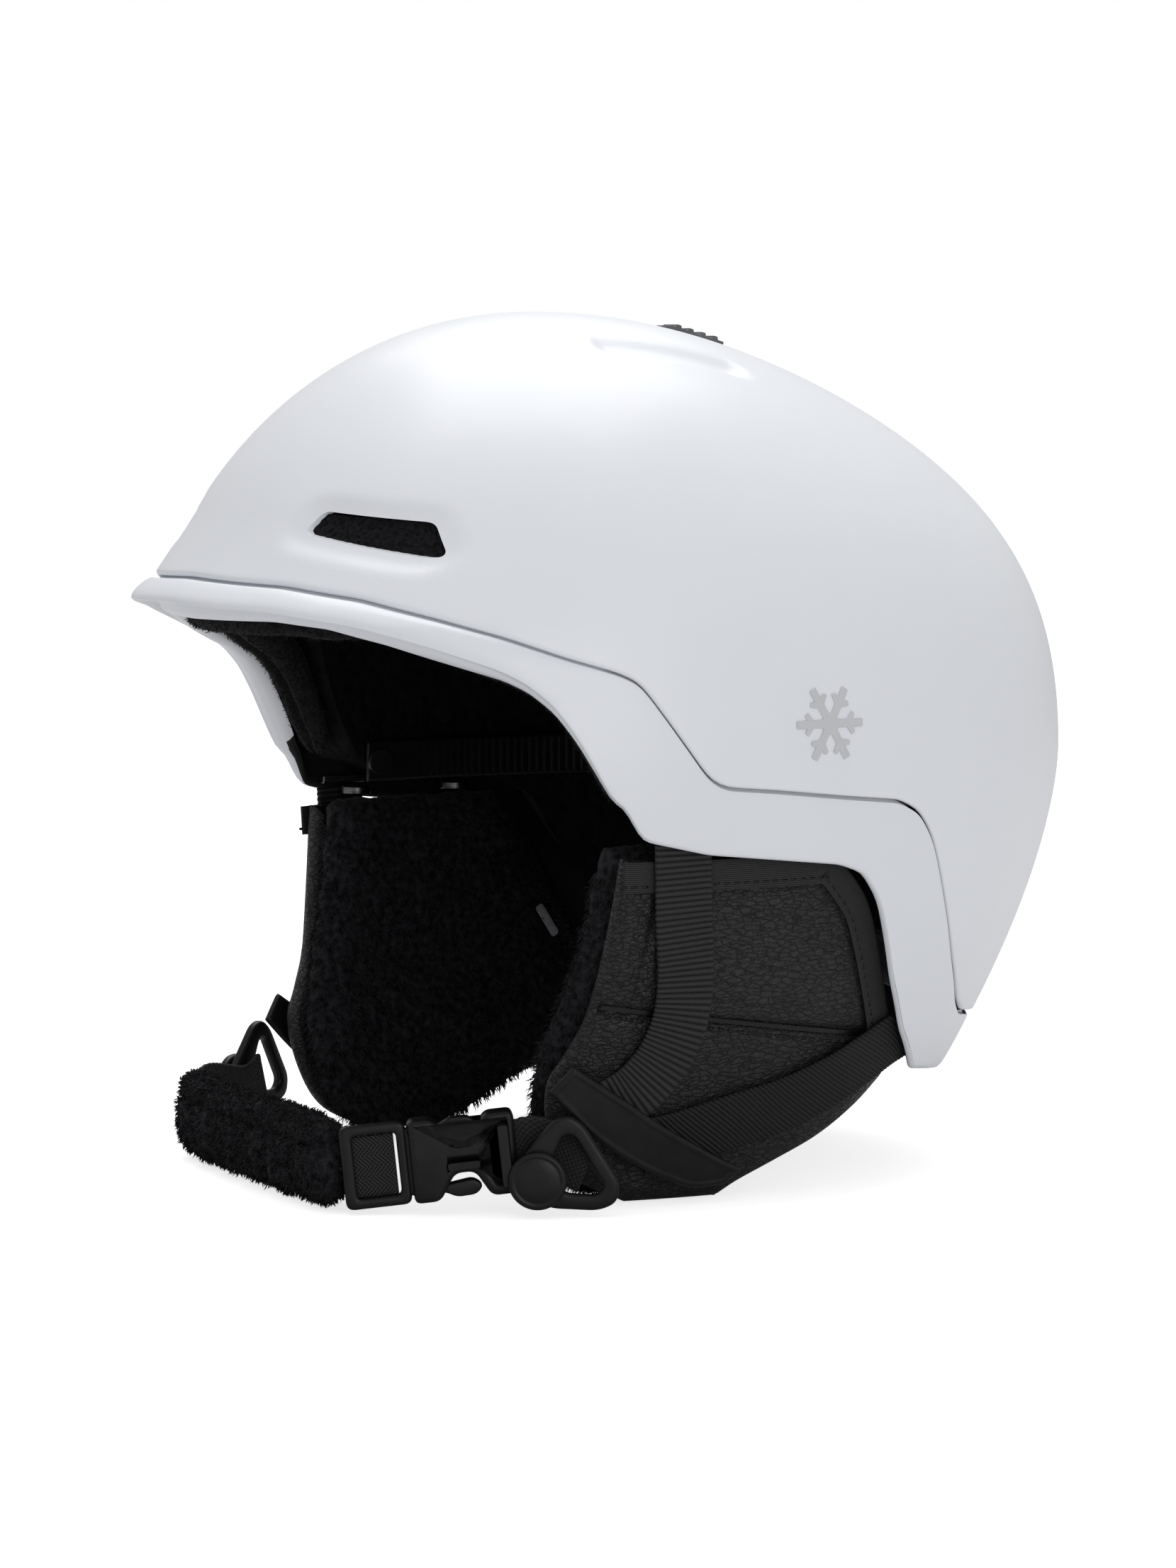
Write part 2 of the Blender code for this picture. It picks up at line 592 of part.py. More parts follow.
# ------------------------------------------------------------------ goggle-strap clip
def make_goggle_clip():
    def rear_point(drop, out):
        """Point behind the shell, a distance below the clip's top and a distance out of it."""
        z = CLIP_TOP - drop
        here, below = dome(OUTER, 180.0, z), dome(OUTER, 180.0, z - 1.0)
        slope = Vector((0.0, here[1] - below[1], 1.0)).normalized()
        normal = Vector((0.0, slope.z, -slope.y))
        return Vector(here) + normal * out

    def strip(drops, low, high, width):
        rows = []
        for drop in drops:
            inner, outer = rear_point(drop, low), rear_point(drop, high)
            half = Vector((width / 2.0, 0.0, 0.0))
            rows.append([inner + half, inner - half, outer - half, outer + half])
        return loft(rows)

    base = add_part("goggle_base", strip([-9.0, -5.0, -1.2], 0.4, CLIP_GAP + CLIP_WALL, CLIP_WIDTH), BLACK_PLASTIC)
    bevel(base, 0.8)
    hinge = rear_point(0.0, CLIP_GAP + CLIP_WALL / 2.0)
    drops = np.linspace(0.2, CLIP_LENGTH, 9)
    clip = strip(drops, CLIP_GAP, CLIP_GAP + CLIP_WALL, CLIP_WIDTH - 4.0)
    clip = add_part("goggle_clip", clip, BLACK_PLASTIC, hinge)
    bevel(clip, 0.5)
    centre = rear_point(CLIP_LENGTH - 5.0, (0.4 + CLIP_GAP - 0.3) / 2.0)
    normal = (rear_point(CLIP_LENGTH - 5.0, 1.0) - rear_point(CLIP_LENGTH - 5.0, 0.0)).normalized()
    add_part("goggle_stud", cylinder(centre, normal, 4.0, CLIP_GAP - 0.7, 16), STEEL)


# ------------------------------------------------------------------ ear pads
def pad_x(y, z):
    """Outer face of the left ear pad."""
    return dome_x(y, z, PAD_INSET + 2.0 * max(97.0 - z, 0.0) / 97.0)


def pad_body(front, rear, heights, start, wall, columns=9):
    rows = []
    for z in heights:
        ends = [np.interp(z, *zip(*table)) for table in (front, rear)]
        line = np.linspace(*ends, columns)
        outer = [(pad_x(y, z) - start, y, z) for y in line]
        inner = [(pad_x(y, z) - start - wall, y, z) for y in line[::-1]]
        rows.append(outer + inner)
    return loft(rows)


def make_ear_pads():
    heights = [0, 4, 9, 15, 22, 31, 43, 54, 66, 82, 90, 96.5]
    for_both_sides("ear_pad", lambda: pad_body(PAD_FRONT, PAD_REAR, heights, 0.0, PAD_WALL),
                   BLACK_LEATHER, EAR_HINGE)
    plush_heights = [1, 9, 15, 22, 31, 43, 54, 66, 82, 96.5]
    for_both_sides("ear_plush",
                   lambda: pad_body(PLUSH_FRONT, PLUSH_REAR, plush_heights, PAD_WALL + PLUSH_GAP, PLUSH_WALL),
                   BLACK_FLEECE, EAR_HINGE)
    for y, word in ((-8.0, "front"), (26.0, "rear")):
        for_both_sides("ear_snap_" + word, lambda y=y: cylinder((94.0, y, 100.4), (0, 0, 1), 4.5, 2.6, 16), STEEL)


# ------------------------------------------------------------------ straps
def on_pad(y, z, lift):
    """Point above the pad's outer face, or inside the shell's edge above the pad."""
    normal = pad_normal(y, z)
    return Vector((pad_x(y, z), y, z)) + normal * lift


def pad_normal(y, z):
    along = (pad_x(y + 2.0, z) - pad_x(y - 2.0, z)) / 4.0
    rise = (pad_x(y, min(z + 2.0, 104.0)) - pad_x(y, z - 2.0)) / 4.0
    return Vector((1.0, -along, -rise)).normalized()


def pad_ribbon(route, lift, count):
    flat = smooth_path([(y, z, 0.0) for y, z in route], count)
    points = [on_pad(p.x, p.y, lift) for p in flat]
    normals = [pad_normal(p.x, p.y) for p in flat]
    return ribbon(points, normals, WEB_WIDTH, WEB_WALL)


def ring_frame(centre, turn_side, lift=0.0):
    """Frame of a strap ring: X along the strap, Y up, Z away from the pad."""
    along = Vector((0.5 * turn_side, 0.866, 0.0)).normalized()
    out = Vector((0.866 * turn_side, -0.5, 0.0)).normalized()
    turn = Matrix((along, Vector((0, 0, 1)), out)).transposed().to_4x4()
    return Matrix.Translation((centre[0], centre[1], lift)) @ turn


def make_ring(word, frame):
    def to_point(u, v, w):
        return frame @ Vector((u, v, w))

    ring = add_part("strap_ring_" + word, prism(RING_OUTLINE, -RING_WALL / 2, RING_WALL / 2, to_point),
                    BLACK_PLASTIC, frame @ Vector((0, 14, 0)))
    window = prism(RING_WINDOW, -RING_WALL, RING_WALL, to_point)
    boolean(ring, add_part("cut_ring_window_" + word, window, None, cutter=True))
    bevel(ring, 0.6)
    lift = RING_WALL / 2 + GAP + DISC_WALL / 2
    disc = cylinder(frame @ Vector((*DISC_CENTRE, lift)), frame.to_3x3() @ Vector((0, 0, 1)), DISC_RADIUS,
                    DISC_WALL, 24)
    bevel(add_part("ring_disc_" + word, disc, BLACK_PLASTIC), 0.8)


def make_straps():
    for_both_sides("strap_front", lambda: pad_ribbon(FRONT_WEB, 1.25, 15), BLACK_WEBBING)
    for_both_sides("strap_rear", lambda: pad_ribbon(REAR_WEB, 1.25, 13), BLACK_WEBBING)
    for_both_sides("strap_yoke", lambda: plate(YOKE_LINES, on_pad, YOKE_LIFT, YOKE_LIFT + YOKE_WALL), BLACK_PLASTIC)
    for_both_sides("anchor_front", lambda: box((99.6, -9.7, 103.4), (2.4, 14.0, 2.4)), STEEL)

    def rear_rivet():
        centre = on_pad(74.0, 43.5, -1.2)
        return cylinder(centre, pad_normal(74.0, 43.5), 4.5, 2.2, 16)

    for_both_sides("anchor_rear", rear_rivet, STEEL)
    make_ring("left", ring_frame(RING_CENTRE, 1))
    make_ring("right", ring_frame(RING_RIGHT_CENTRE, -1, RING_RIGHT_LIFT))
    behind = -(RING_WALL / 2 + 2.0 * GAP + WEB_WALL / 2)
    frame = ring_frame(RING_CENTRE, 1)
    route = [frame @ Vector((4.0, 15.0, behind)), buckle_point(FEMALE_END + 6.5, 0.6, 0.0),
             buckle_point(FEMALE_END + 1.3, 0.6, 0.0)]
    points = smooth_path(route, 6)
    normals = [level_normal(points, i, 1) for i in range(len(points))]
    add_part("chin_webbing_left", ribbon(points, normals, 15.0, WEB_WALL), BLACK_WEBBING)
    frame = ring_frame(RING_RIGHT_CENTRE, -1, RING_RIGHT_LIFT)
    start = frame @ Vector((-2.0, 11.0, behind))
    route = [start, frame @ Vector((-12.0, 8.0, behind)), Vector((-68.5, -70.0, 17.0)), Vector((-64.6, -75.2, 14.5))]
    points = smooth_path(route, 8)
    normals = [level_normal(points, i, -1) for i in range(len(points))]
    add_part("chin_webbing_right", ribbon(points, normals, 15.0, WEB_WALL), BLACK_WEBBING)


# ------------------------------------------------------------------ buckle and chin pad
def buckle_matrix():
    level = Vector((math.cos(BUCKLE_TURN), math.sin(BUCKLE_TURN), 0.0))
    along = level * math.cos(BUCKLE_TILT) + Vector((0.0, 0.0, math.sin(BUCKLE_TILT)))
    out = Vector((level.y, -level.x, 0.0))
    turn = Matrix((along, out.cross(along), out)).transposed().to_4x4()
    return Matrix.Translation(BUCKLE_START) @ turn


def buckle_point(along, up, out):
    return buckle_matrix() @ Vector((along, up, out))


def buckle_box(name, along, up, out):
    """Cutter given by its (low, high) along, up and out."""
    centre = [(low + high) / 2.0 for low, high in (along, up, out)]
    size = [high - low for low, high in (along, up, out)]
    return add_part(name, box(centre, size, buckle_matrix()), None, cutter=True)


def make_buckle():
    male = prism([(0.8, -BUCKLE_HALF + 1.5), (2.2, -BUCKLE_HALF), (MOUTH - 0.5, -BUCKLE_HALF),
                  (MOUTH - 0.5, -GUIDE_HALF), (SOCKET_END - 1.0, -GUIDE_HALF), (SOCKET_END - 1.0, GUIDE_HALF),
                  (MOUTH - 0.5, GUIDE_HALF), (MOUTH - 0.5, BUCKLE_HALF), (2.2, BUCKLE_HALF),
                  (0.8, BUCKLE_HALF - 1.5)], -2.1, 2.1, buckle_point)
    male = add_part("buckle_male", male, BLACK_PLASTIC, buckle_point(0.0, 0.0, 0.0))
    boolean(male, buckle_box("cut_male_window", (4.2, 16.2), (-8.6, 8.6), (-10, 10)))
    half, waist = BUCKLE_HALF, 4.2
    outline = [(MOUTH, -half), (26.5, -half), (31.0, -waist), (36.5, -waist), (40.5, -half), (FEMALE_END, -half),
               (FEMALE_END, half), (40.5, half), (36.5, waist), (31.0, waist), (26.5, half), (MOUTH, half)]
    female = prism(outline, -SOCKET_WALL / 2, SOCKET_WALL / 2, buckle_point)
    female = add_part("buckle_female", female, BLACK_PLASTIC, buckle_point(MOUTH, 0.0, 0.0))
    boolean(female, buckle_box("cut_socket", (MOUTH - 5, SOCKET_END), (-CAVITY_HALF, CAVITY_HALF),
                               (-CAVITY_WALL / 2, CAVITY_WALL / 2)))
    boolean(female, buckle_box("cut_web_slot", (43.6, 46.2), (-8.4, 8.4), (-10, 10)))
    root = MOUTH - 0.15
    for sign, word in ((1, "upper"), (-1, "lower")):
        arm = [(root, sign * 6.4), (root, sign * 9.1), (28.0, sign * 9.3), (31.0, sign * 11.0), (36.5, sign * 10.8),
               (38.6, sign * 8.4), (36.0, sign * 6.2), (28.0, sign * 7.2)]
        prong = prism(arm, -1.9, 1.9, buckle_point)
        add_part("latch_" + word, prong, BLACK_PLASTIC, buckle_point(root, sign * 8.0, 0.0))
    web = box((10.2, 0.0, 0.0), (10.4, 16.2, WEB_WALL), buckle_matrix())
    add_part("chin_webbing_front", web, BLACK_WEBBING)


def make_chin_pad():
    points = smooth_path(CHIN_PATH, 16)
    rows = []
    for i, point in enumerate(points):
        normal = level_normal(points, i, 1)
        share = 1.0 - (1.0 - CHIN_END_SHARE) * (2.0 * i / (len(points) - 1.0) - 1.0) ** 6
        depth, tall = [size * share for size in CHIN_SIZE]
        ring = []
        for turn in np.linspace(0.0, 2.0 * math.pi, 12, endpoint=False):
            swell = (abs(math.cos(turn)) ** 3 + abs(math.sin(turn)) ** 3) ** (-1.0 / 3.0)
            across = normal * (depth / 2.0 * swell * math.cos(turn))
            ring.append(point + across + Vector((0, 0, tall / 2.0 * swell * math.sin(turn))))
        rows.append(ring)
    return add_part("chin_pad", loft(rows), BLACK_FLEECE)


def main():
    global PARTS, CUTTERS
    clear_scene()
    PARTS = new_collection("ski_helmet")
    CUTTERS = new_collection("ski_helmet_cutters")
    make_upper_shell()
    make_lower_shell()
    make_foam()
    make_vent_meshes()
    make_vent_slider()
    make_comfort_brow()
    make_comfort_crown()
    make_fit_system()
    make_goggle_clip()
    make_ear_pads()
    make_straps()
    make_buckle()
    make_chin_pad()


main()
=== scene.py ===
import math

import bmesh
import bpy
import numpy as np
from mathutils import Matrix, Vector, noise

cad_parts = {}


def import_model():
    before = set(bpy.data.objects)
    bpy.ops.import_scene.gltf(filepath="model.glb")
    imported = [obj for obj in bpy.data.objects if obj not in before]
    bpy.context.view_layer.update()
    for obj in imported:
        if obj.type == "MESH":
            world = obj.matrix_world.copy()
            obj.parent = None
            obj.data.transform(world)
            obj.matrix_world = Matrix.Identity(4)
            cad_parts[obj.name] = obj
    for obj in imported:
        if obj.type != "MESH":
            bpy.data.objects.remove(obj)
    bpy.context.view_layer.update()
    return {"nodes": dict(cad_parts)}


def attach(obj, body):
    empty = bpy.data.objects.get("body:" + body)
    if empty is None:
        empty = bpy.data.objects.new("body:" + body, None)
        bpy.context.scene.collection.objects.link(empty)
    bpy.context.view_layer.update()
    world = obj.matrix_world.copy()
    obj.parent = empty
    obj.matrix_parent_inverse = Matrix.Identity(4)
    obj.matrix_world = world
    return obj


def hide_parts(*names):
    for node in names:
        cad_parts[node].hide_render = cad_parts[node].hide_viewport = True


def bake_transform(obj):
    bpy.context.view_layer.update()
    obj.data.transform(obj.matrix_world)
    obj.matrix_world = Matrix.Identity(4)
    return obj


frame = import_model()

MM = 0.001
MIDDLE_Y = 25.9            # dome coordinates have their origin this far in front of the frame's
GAP = 0.35

# ------------------------------------------------------------------ driving sizes, in dome millimetres
WIDEST_Z = 118.0
OUTER = {"top": 244.0, "front": 116.3, "rear": 163.5, "side": 108.0, "flare": 4.0, "tuck": 0.0287}
INNER = {"top": 214.0, "front": 90.0, "rear": 131.0, "side": 85.0, "flare": 0.0, "tuck": 0.012}
CENTRE_SHIFT = 20.0
PLAN_POWER = 2.1
SHELL_WALL = 2.2
SEAM_GAP = 0.7
FOAM_INSET = 4.2
INSIDE_SHADE_START = 72.0        # degrees from the front at which the shells' inward faces are painted black as shade
INSIDE_SHADE_ABOVE_EDGE = 1.2
INSIDE_SHADE_FACING = -0.25      # a face with less than this share outwards counts as looking inwards
BRIM_REACH = 2.4
RIM_DEPTH = 14.0
RIM_DROP = 2.2
BROW_HALF_ANGLE = 64.0
BROW_DROP = 1.2
BROW_TEMPLE_LIFT = 4.0
CROWN_GAP = 3.0

SEAM = [(0, 171.5), (19, 170.2), (30, 167.2), (40, 162.2), (48, 157.6), (57, 151.3), (64, 147.2),
        (67, 144.5), (77, 118.0), (79.5, 115.6), (88, 114.1), (100, 111.5), (110, 109.5), (114, 106.0),
        (117, 98.6), (121, 80.6), (125.5, 63.4), (131, 49.8), (135, 45.2), (150, 41.6), (180, 41.6)]
EDGE = [(0, 161.5), (16, 162.0), (24, 160.4), (32, 156.3), (39, 151.7), (48, 145.8), (51.5, 142.3),
        (55, 136.6), (58, 128.7), (61.5, 117.0), (63, 112.0), (64.5, 111.2), (67, 102.0), (77, 97.6),
        (88, 95.4), (99.5, 93.0), (104, 90.2), (107.5, 82.0), (112, 59.3), (116.5, 44.5), (123.5, 31.3),
        (150, 25.5), (180, 25.0)]
FOAM_EDGE = [(0, 173.0), (16, 173.0), (24, 171.5), (32, 168.0), (39, 163.0), (48, 157.0), (55, 149.0),
             (58, 140.0), (62, 126.0), (67, 111.0), (77, 106.0), (88, 104.0), (99.5, 102.5), (104, 100.5),
             (108, 97.5), (112, 86.0), (118, 71.0), (130, 64.0), (150, 68.0), (180, 72.0)]

PAD_FRONT = [(0, -14), (8, -30), (20, -37), (34, -39), (43, -35), (54, -30.5), (73, -27), (96.5, -24)]
PAD_REAR = [(0, 13), (4, 20), (9, 32), (14, 45), (20, 56.5), (26, 65), (32, 70), (45, 66.5), (60, 61),
            (72, 56.5), (82, 52), (90, 45.5), (96.5, 39)]
PLUSH_FRONT = [(1, -20), (10, -32), (25, -36.5), (35, -37.5), (46, -35.5), (60, -31.5), (73, -28),
               (96.5, -24)]
PLUSH_REAR = [(1, 7), (8, 24), (16, 38), (24, 48), (31, 53), (45, 54), (60, 51), (82, 45), (96.5, 36)]
PAD_INSET = 5.6
PAD_WALL = 9.0
PLUSH_WALL = 13.0
PLUSH_GAP = 1.0
PLUSH_TOP = 99.5
LEATHER_SINK = 0.7         # leather face below the solid's face, so that tape and thread fit on it
PANEL_SEAM = ((-30.0, 55.8), (66.0, 42.0))
FUR_TOP = 92.0             # the plush fur stays below this, clear of the foam and the rear snaps

WEB_WIDTH = 16.5
WEB_WALL = 1.5
FRONT_WEB = [(-9.7, 101.0), (-9.5, 95.0), (-8.5, 80.0), (-6.9, 64.0), (-7.4, 52.0), (-11.0, 41.5),
             (-17.0, 33.5), (-24.0, 28.5)]
REAR_WEB = [(74.5, 43.5), (65.0, 40.6), (54.0, 35.6), (43.0, 30.8), (27.0, 25.6), (12.0, 22.4), (-3.5, 18.6),
            (-14.0, 16.8)]
YOKE_LINES = [((-36, 41.5), (-41.5, 34.5)), ((-28, 36), (-34.5, 27)), ((-20, 30.5), (-27.5, 20.5)),
              ((-10.5, 24), (-18, 14)), ((-1, 18.5), (-8.5, 9)), ((8, 13.5), (0.5, 5.6)),
              ((15.5, 10), (10, 5.8))]
YOKE_LIFT = 2.7
YOKE_WALL = 2.6

TAB_CENTRE = (-72.0, 46.0, 59.8)

RING_OUTLINE = [(-15, 13), (-13, 6), (-4, 2), (9, 1.4), (14, 3.5), (15, 9), (5, 25), (1, 27.6), (-3, 26.5)]
RING_WINDOW = [(-5, 12), (0, 6.2), (8.5, 5.6), (10.6, 8.2), (2.4, 21.8), (-0.6, 22)]
RING_EYE = (3.0, 12.0)     # point inside the window that both outlines are drawn round
RING_CENTRE = (88.4, -39.3)
RING_RIGHT_CENTRE = (-86.6, -45.2)
RING_RIGHT_LIFT = 6.0
RING_WALL = 3.2
DISC_CENTRE = (-7.5, 10.0)
DISC_WALL = 3.0

BUCKLE_START = (54.7, -90.7, 12.0)
BUCKLE_TURN = math.radians(63.9)
BUCKLE_TILT = math.radians(6.0)
MOUTH = 19.4
SOCKET_END = 39.8
FEMALE_END = 48.4
BUCKLE_HALF = 11.4
SOCKET_WALL = 8.6
CAVITY_WALL = 4.6
CAVITY_HALF = 9.9
GUIDE_HALF = 1.6
COLLAR_HALF = 9.2

CHIN_PATH = [(-59, -79.2, 13.0), (-50, -81.0, 13.0), (-30, -83.8, 13.0), (-5, -86.2, 13.0),
             (28, -88.2, 13.0), (52.6, -90.6, 12.6)]
CHIN_SIZE = (14.5, 25.2)
CHIN_END_SHARE = 0.86

BROW_VENT = [(35, 184.2), (37.5, 189.3), (64, 186.7), (70, 178.4), (66.5, 178.4)]
CROWN_SLOT = (3.8, 31.0, 68.0)
SCOOP = ((44.0, 0.0), (52.0, 35.0))    # (x, y) ends of the shallow scoop beside the crown
EMBLEM = (33.0, 132.0)                 # (y, z) of the raised flake on each side

CRADLE_RADIUS = 91.0
CRADLE_HALF_ANGLE = 35.0
DIAL_CENTRE = (0.0, 123.6, 57.0)
BAND_PATH = [(56.5, 95.0), (70.5, 75.0), (78.6, 48.0), (81.0, 15.0), (78.8, -12.0)]
BAND_Z = 110.0

# ------------------------------------------------------------------ light and camera, in metres
SKY_LIGHT = 0.49
FLOOR_GLOW = 0.74
LAMPS = {"key": ((0.2, -1.1, 2.0), 1.4, 1.0), "fill": ((1.9, -0.3, 0.5), 1.0, 7.5),
         "top": ((-0.4, 0.3, 2.2), 1.6, 29.0), "rim": ((-1.4, 0.7, 1.7), 1.2, 7.0)}  # place, side, power
LAMP_AIM = (0.0, 0.0, 0.1)
CAMERA_TURN = 60.0         # degrees from the front
CAMERA_RISE = 5.0
CAMERA_DISTANCE = 1.5
CAMERA_TARGET = (0.0, -0.0071, 0.108)
CAMERA_LENS = 119.08

random = np.random.default_rng(7)


# ------------------------------------------------------------------ node materials
class Look:
    """A principled material and short ways to build its nodes, in the piece's own coordinates in metres."""

    def __init__(self, name, colour, roughness, **sockets):
        self.material = bpy.data.materials.new(name)
        self.material.use_nodes = True
        self.tree = self.material.node_tree
        self.shader = self.tree.nodes["Principled BSDF"]
        self.set("Base Color", (*colour, 1.0))
        self.set("Roughness", roughness)
        for socket, value in sockets.items():
            self.set(socket.replace("_", " "), value)
        self.place = self.add("ShaderNodeTexCoord").outputs["Object"]

    def set(self, socket, value):
        self.shader.inputs[socket].default_value = value

    def add(self, kind, **settings):
        node = self.tree.nodes.new(kind)
        for key, value in settings.items():
            setattr(node, key, value)
        return node

    def link(self, source, target):
        self.tree.links.new(source, target)

    def maths(self, operation, *values):
        node = self.add("ShaderNodeMath", operation=operation)
        for socket, value in zip(node.inputs, values):
            if isinstance(value, (int, float)):
                socket.default_value = value
            else:
                self.link(value, socket)
        return node.outputs[0]

    def noise(self, size, detail=2.0, stretch=None):
        """Noise whose blobs are about size millimetres across."""
        node = self.add("ShaderNodeTexNoise")
        node.inputs["Scale"].default_value = 1000.0 / size
        node.inputs["Detail"].default_value = detail
        self.link(self.stretched(stretch), node.inputs["Vector"])
        return node.outputs["Fac"]

    def cells(self, size, feature="F1", output="Distance", stretch=None):
        node = self.add("ShaderNodeTexVoronoi", feature=feature)
        node.inputs["Scale"].default_value = 1000.0 / size
        self.link(self.stretched(stretch), node.inputs["Vector"])
        return node.outputs[output]

    def stretched(self, factors):
        if factors is None:
            return self.place
        node = self.add("ShaderNodeMapping")
        node.inputs["Scale"].default_value = factors
        self.link(self.place, node.inputs["Vector"])
        return node.outputs["Vector"]

    def ramp(self, value, *stops):
        """Colours or greys at positions along a value."""
        node = self.add("ShaderNodeValToRGB")
        while len(node.color_ramp.elements) < len(stops):
            node.color_ramp.elements.new(1.0)
        for element, (position, tone) in zip(node.color_ramp.elements, stops):
            element.position = position
            element.color = (*tone, 1.0) if isinstance(tone, tuple) else (tone, tone, tone, 1.0)
        self.link(value, node.inputs["Fac"])
        return node.outputs["Color"]

    def colour(self, value, *stops):
        self.link(self.ramp(value, *stops), self.shader.inputs["Base Color"])

    def roughness(self, value, low, high):
        node = self.add("ShaderNodeMapRange")
        node.inputs["To Min"].default_value = low
        node.inputs["To Max"].default_value = high
        self.link(value, node.inputs["Value"])
        self.link(node.outputs["Result"], self.shader.inputs["Roughness"])

    def bump(self, *layers):
        """Relief from (height, depth in millimetres) layers, the broad ones first."""
        normal = None
        for height, depth in layers:
            node = self.add("ShaderNodeBump")
            node.inputs["Strength"].default_value = 1.0
            node.inputs["Distance"].default_value = depth * MM
            self.link(height, node.inputs["Height"])
            if normal is not None:
                self.link(normal, node.inputs["Normal"])
            normal = node.outputs["Normal"]
        self.link(normal, self.shader.inputs["Normal"])

    def yarn(self):
        """(along, across) in millimetres, from the piece's own weave coordinates."""
        source = self.add("ShaderNodeAttribute", attribute_name="weave")
        split = self.add("ShaderNodeSeparateXYZ")
        self.link(source.outputs["Vector"], split.inputs["Vector"])
        return split.outputs["X"], split.outputs["Y"]

    def wave(self, value, pitch):
        """0 to 1 and back over each pitch of a value."""
        turn = self.maths("SINE", self.maths("MULTIPLY", value, math.pi / pitch))
        return self.maths("ABSOLUTE", turn)


def painted_shell(name, colour, roughness, coat):
    look = Look(name, colour, roughness, Coat_Weight=coat, Coat_Roughness=0.2)
    red, green, blue = colour
    look.colour(look.noise(38.0, 3.0), (0.35, (red * 0.985, green * 0.985, blue * 0.99)), (0.65, colour))
    look.roughness(look.noise(9.0, 4.0), roughness - 0.03, roughness + 0.04)
    look.bump((look.noise(0.9, 2.0), 0.012), (look.noise(0.25, 2.0), 0.006))
    return look.material


def moulded_plastic(name, colour, roughness, grain=0.35):
    look = Look(name, colour, roughness, Specular_IOR_Level=0.24)
    lighter = tuple(min(channel * 1.3 + 0.002, 1.0) for channel in colour)
    look.colour(look.noise(6.0, 4.0), (0.4, colour), (0.75, lighter))
    look.roughness(look.noise(2.5, 3.0), roughness - 0.05, roughness + 0.07)
    look.bump((look.noise(2.4, 2.0), 0.02), (look.noise(grain, 3.0), 0.012))
    return look.material


def bead_foam():
    look = Look("bead_foam", (0.005, 0.005, 0.006), 0.8, Specular_IOR_Level=0.1)
    beads = look.cells(3.2)
    look.colour(look.cells(3.2, output="Color"), (0.2, (0.003, 0.003, 0.004)), (0.9, (0.007, 0.007, 0.008)))
    look.roughness(look.noise(1.5), 0.68, 0.9)
    look.bump((look.ramp(beads, (0.25, 1.0), (0.8, 0.0)), 0.35), (look.noise(0.4), 0.05))
    return look.material


def pile_fabric(name, dark, light, size, depth):
    look = Look(name, light, 0.95, Sheen_Weight=0.06, Sheen_Roughness=0.4, Specular_IOR_Level=0.1)
    tufts = look.noise(size, 5.0)
    look.colour(tufts, (0.36, dark), (0.62, light))
    look.bump((look.noise(size * 3.5, 2.0), depth * 1.4), (tufts, depth),
              (look.cells(size * 0.35), depth * 0.3))
    return look.material


def grained_leather():
    """Pebbled grain drawn out along the length of the helmet, with finer creases inside each pebble; the
    creases are painted darker as shade.
    """
    look = Look("grained_leather", (0.006, 0.006, 0.008), 0.32, Specular_IOR_Level=0.44)
    warp = look.add("ShaderNodeVectorMath", operation="MULTIPLY_ADD")
    shift = look.add("ShaderNodeTexNoise")
    shift.inputs["Scale"].default_value = 330.0
    shift.inputs["Detail"].default_value = 3.0
    look.link(look.place, shift.inputs["Vector"])
    look.link(shift.outputs["Color"], warp.inputs[0])
    warp.inputs[1].default_value = (0.0018, 0.0018, 0.0018)
    look.link(look.place, warp.inputs[2])
    plain, look.place = look.place, warp.outputs[0]
    pebbles = look.cells(1.5, "DISTANCE_TO_EDGE", stretch=(0.7, 0.4, 1.2))
    small = look.cells(0.7, "DISTANCE_TO_EDGE", stretch=(0.9, 0.6, 1.2))
    look.place = plain
    crown = look.ramp(pebbles, (0.0, 0.0), (0.06, 0.7), (0.24, 1.0))
    # painted shade: the colour darkens towards each pebble's edge, where shade falls in the creases
    look.colour(pebbles, (0.02, (0.001, 0.001, 0.001)), (0.14, (0.006, 0.006, 0.007)),
                (0.4, (0.008, 0.008, 0.010)))
    look.roughness(crown, 0.85, 0.28)
    look.bump((look.noise(16.0, 3.0), 0.8), (crown, 0.3), (look.ramp(small, (0.0, 0.0), (0.15, 1.0)), 0.08))
    return look.material


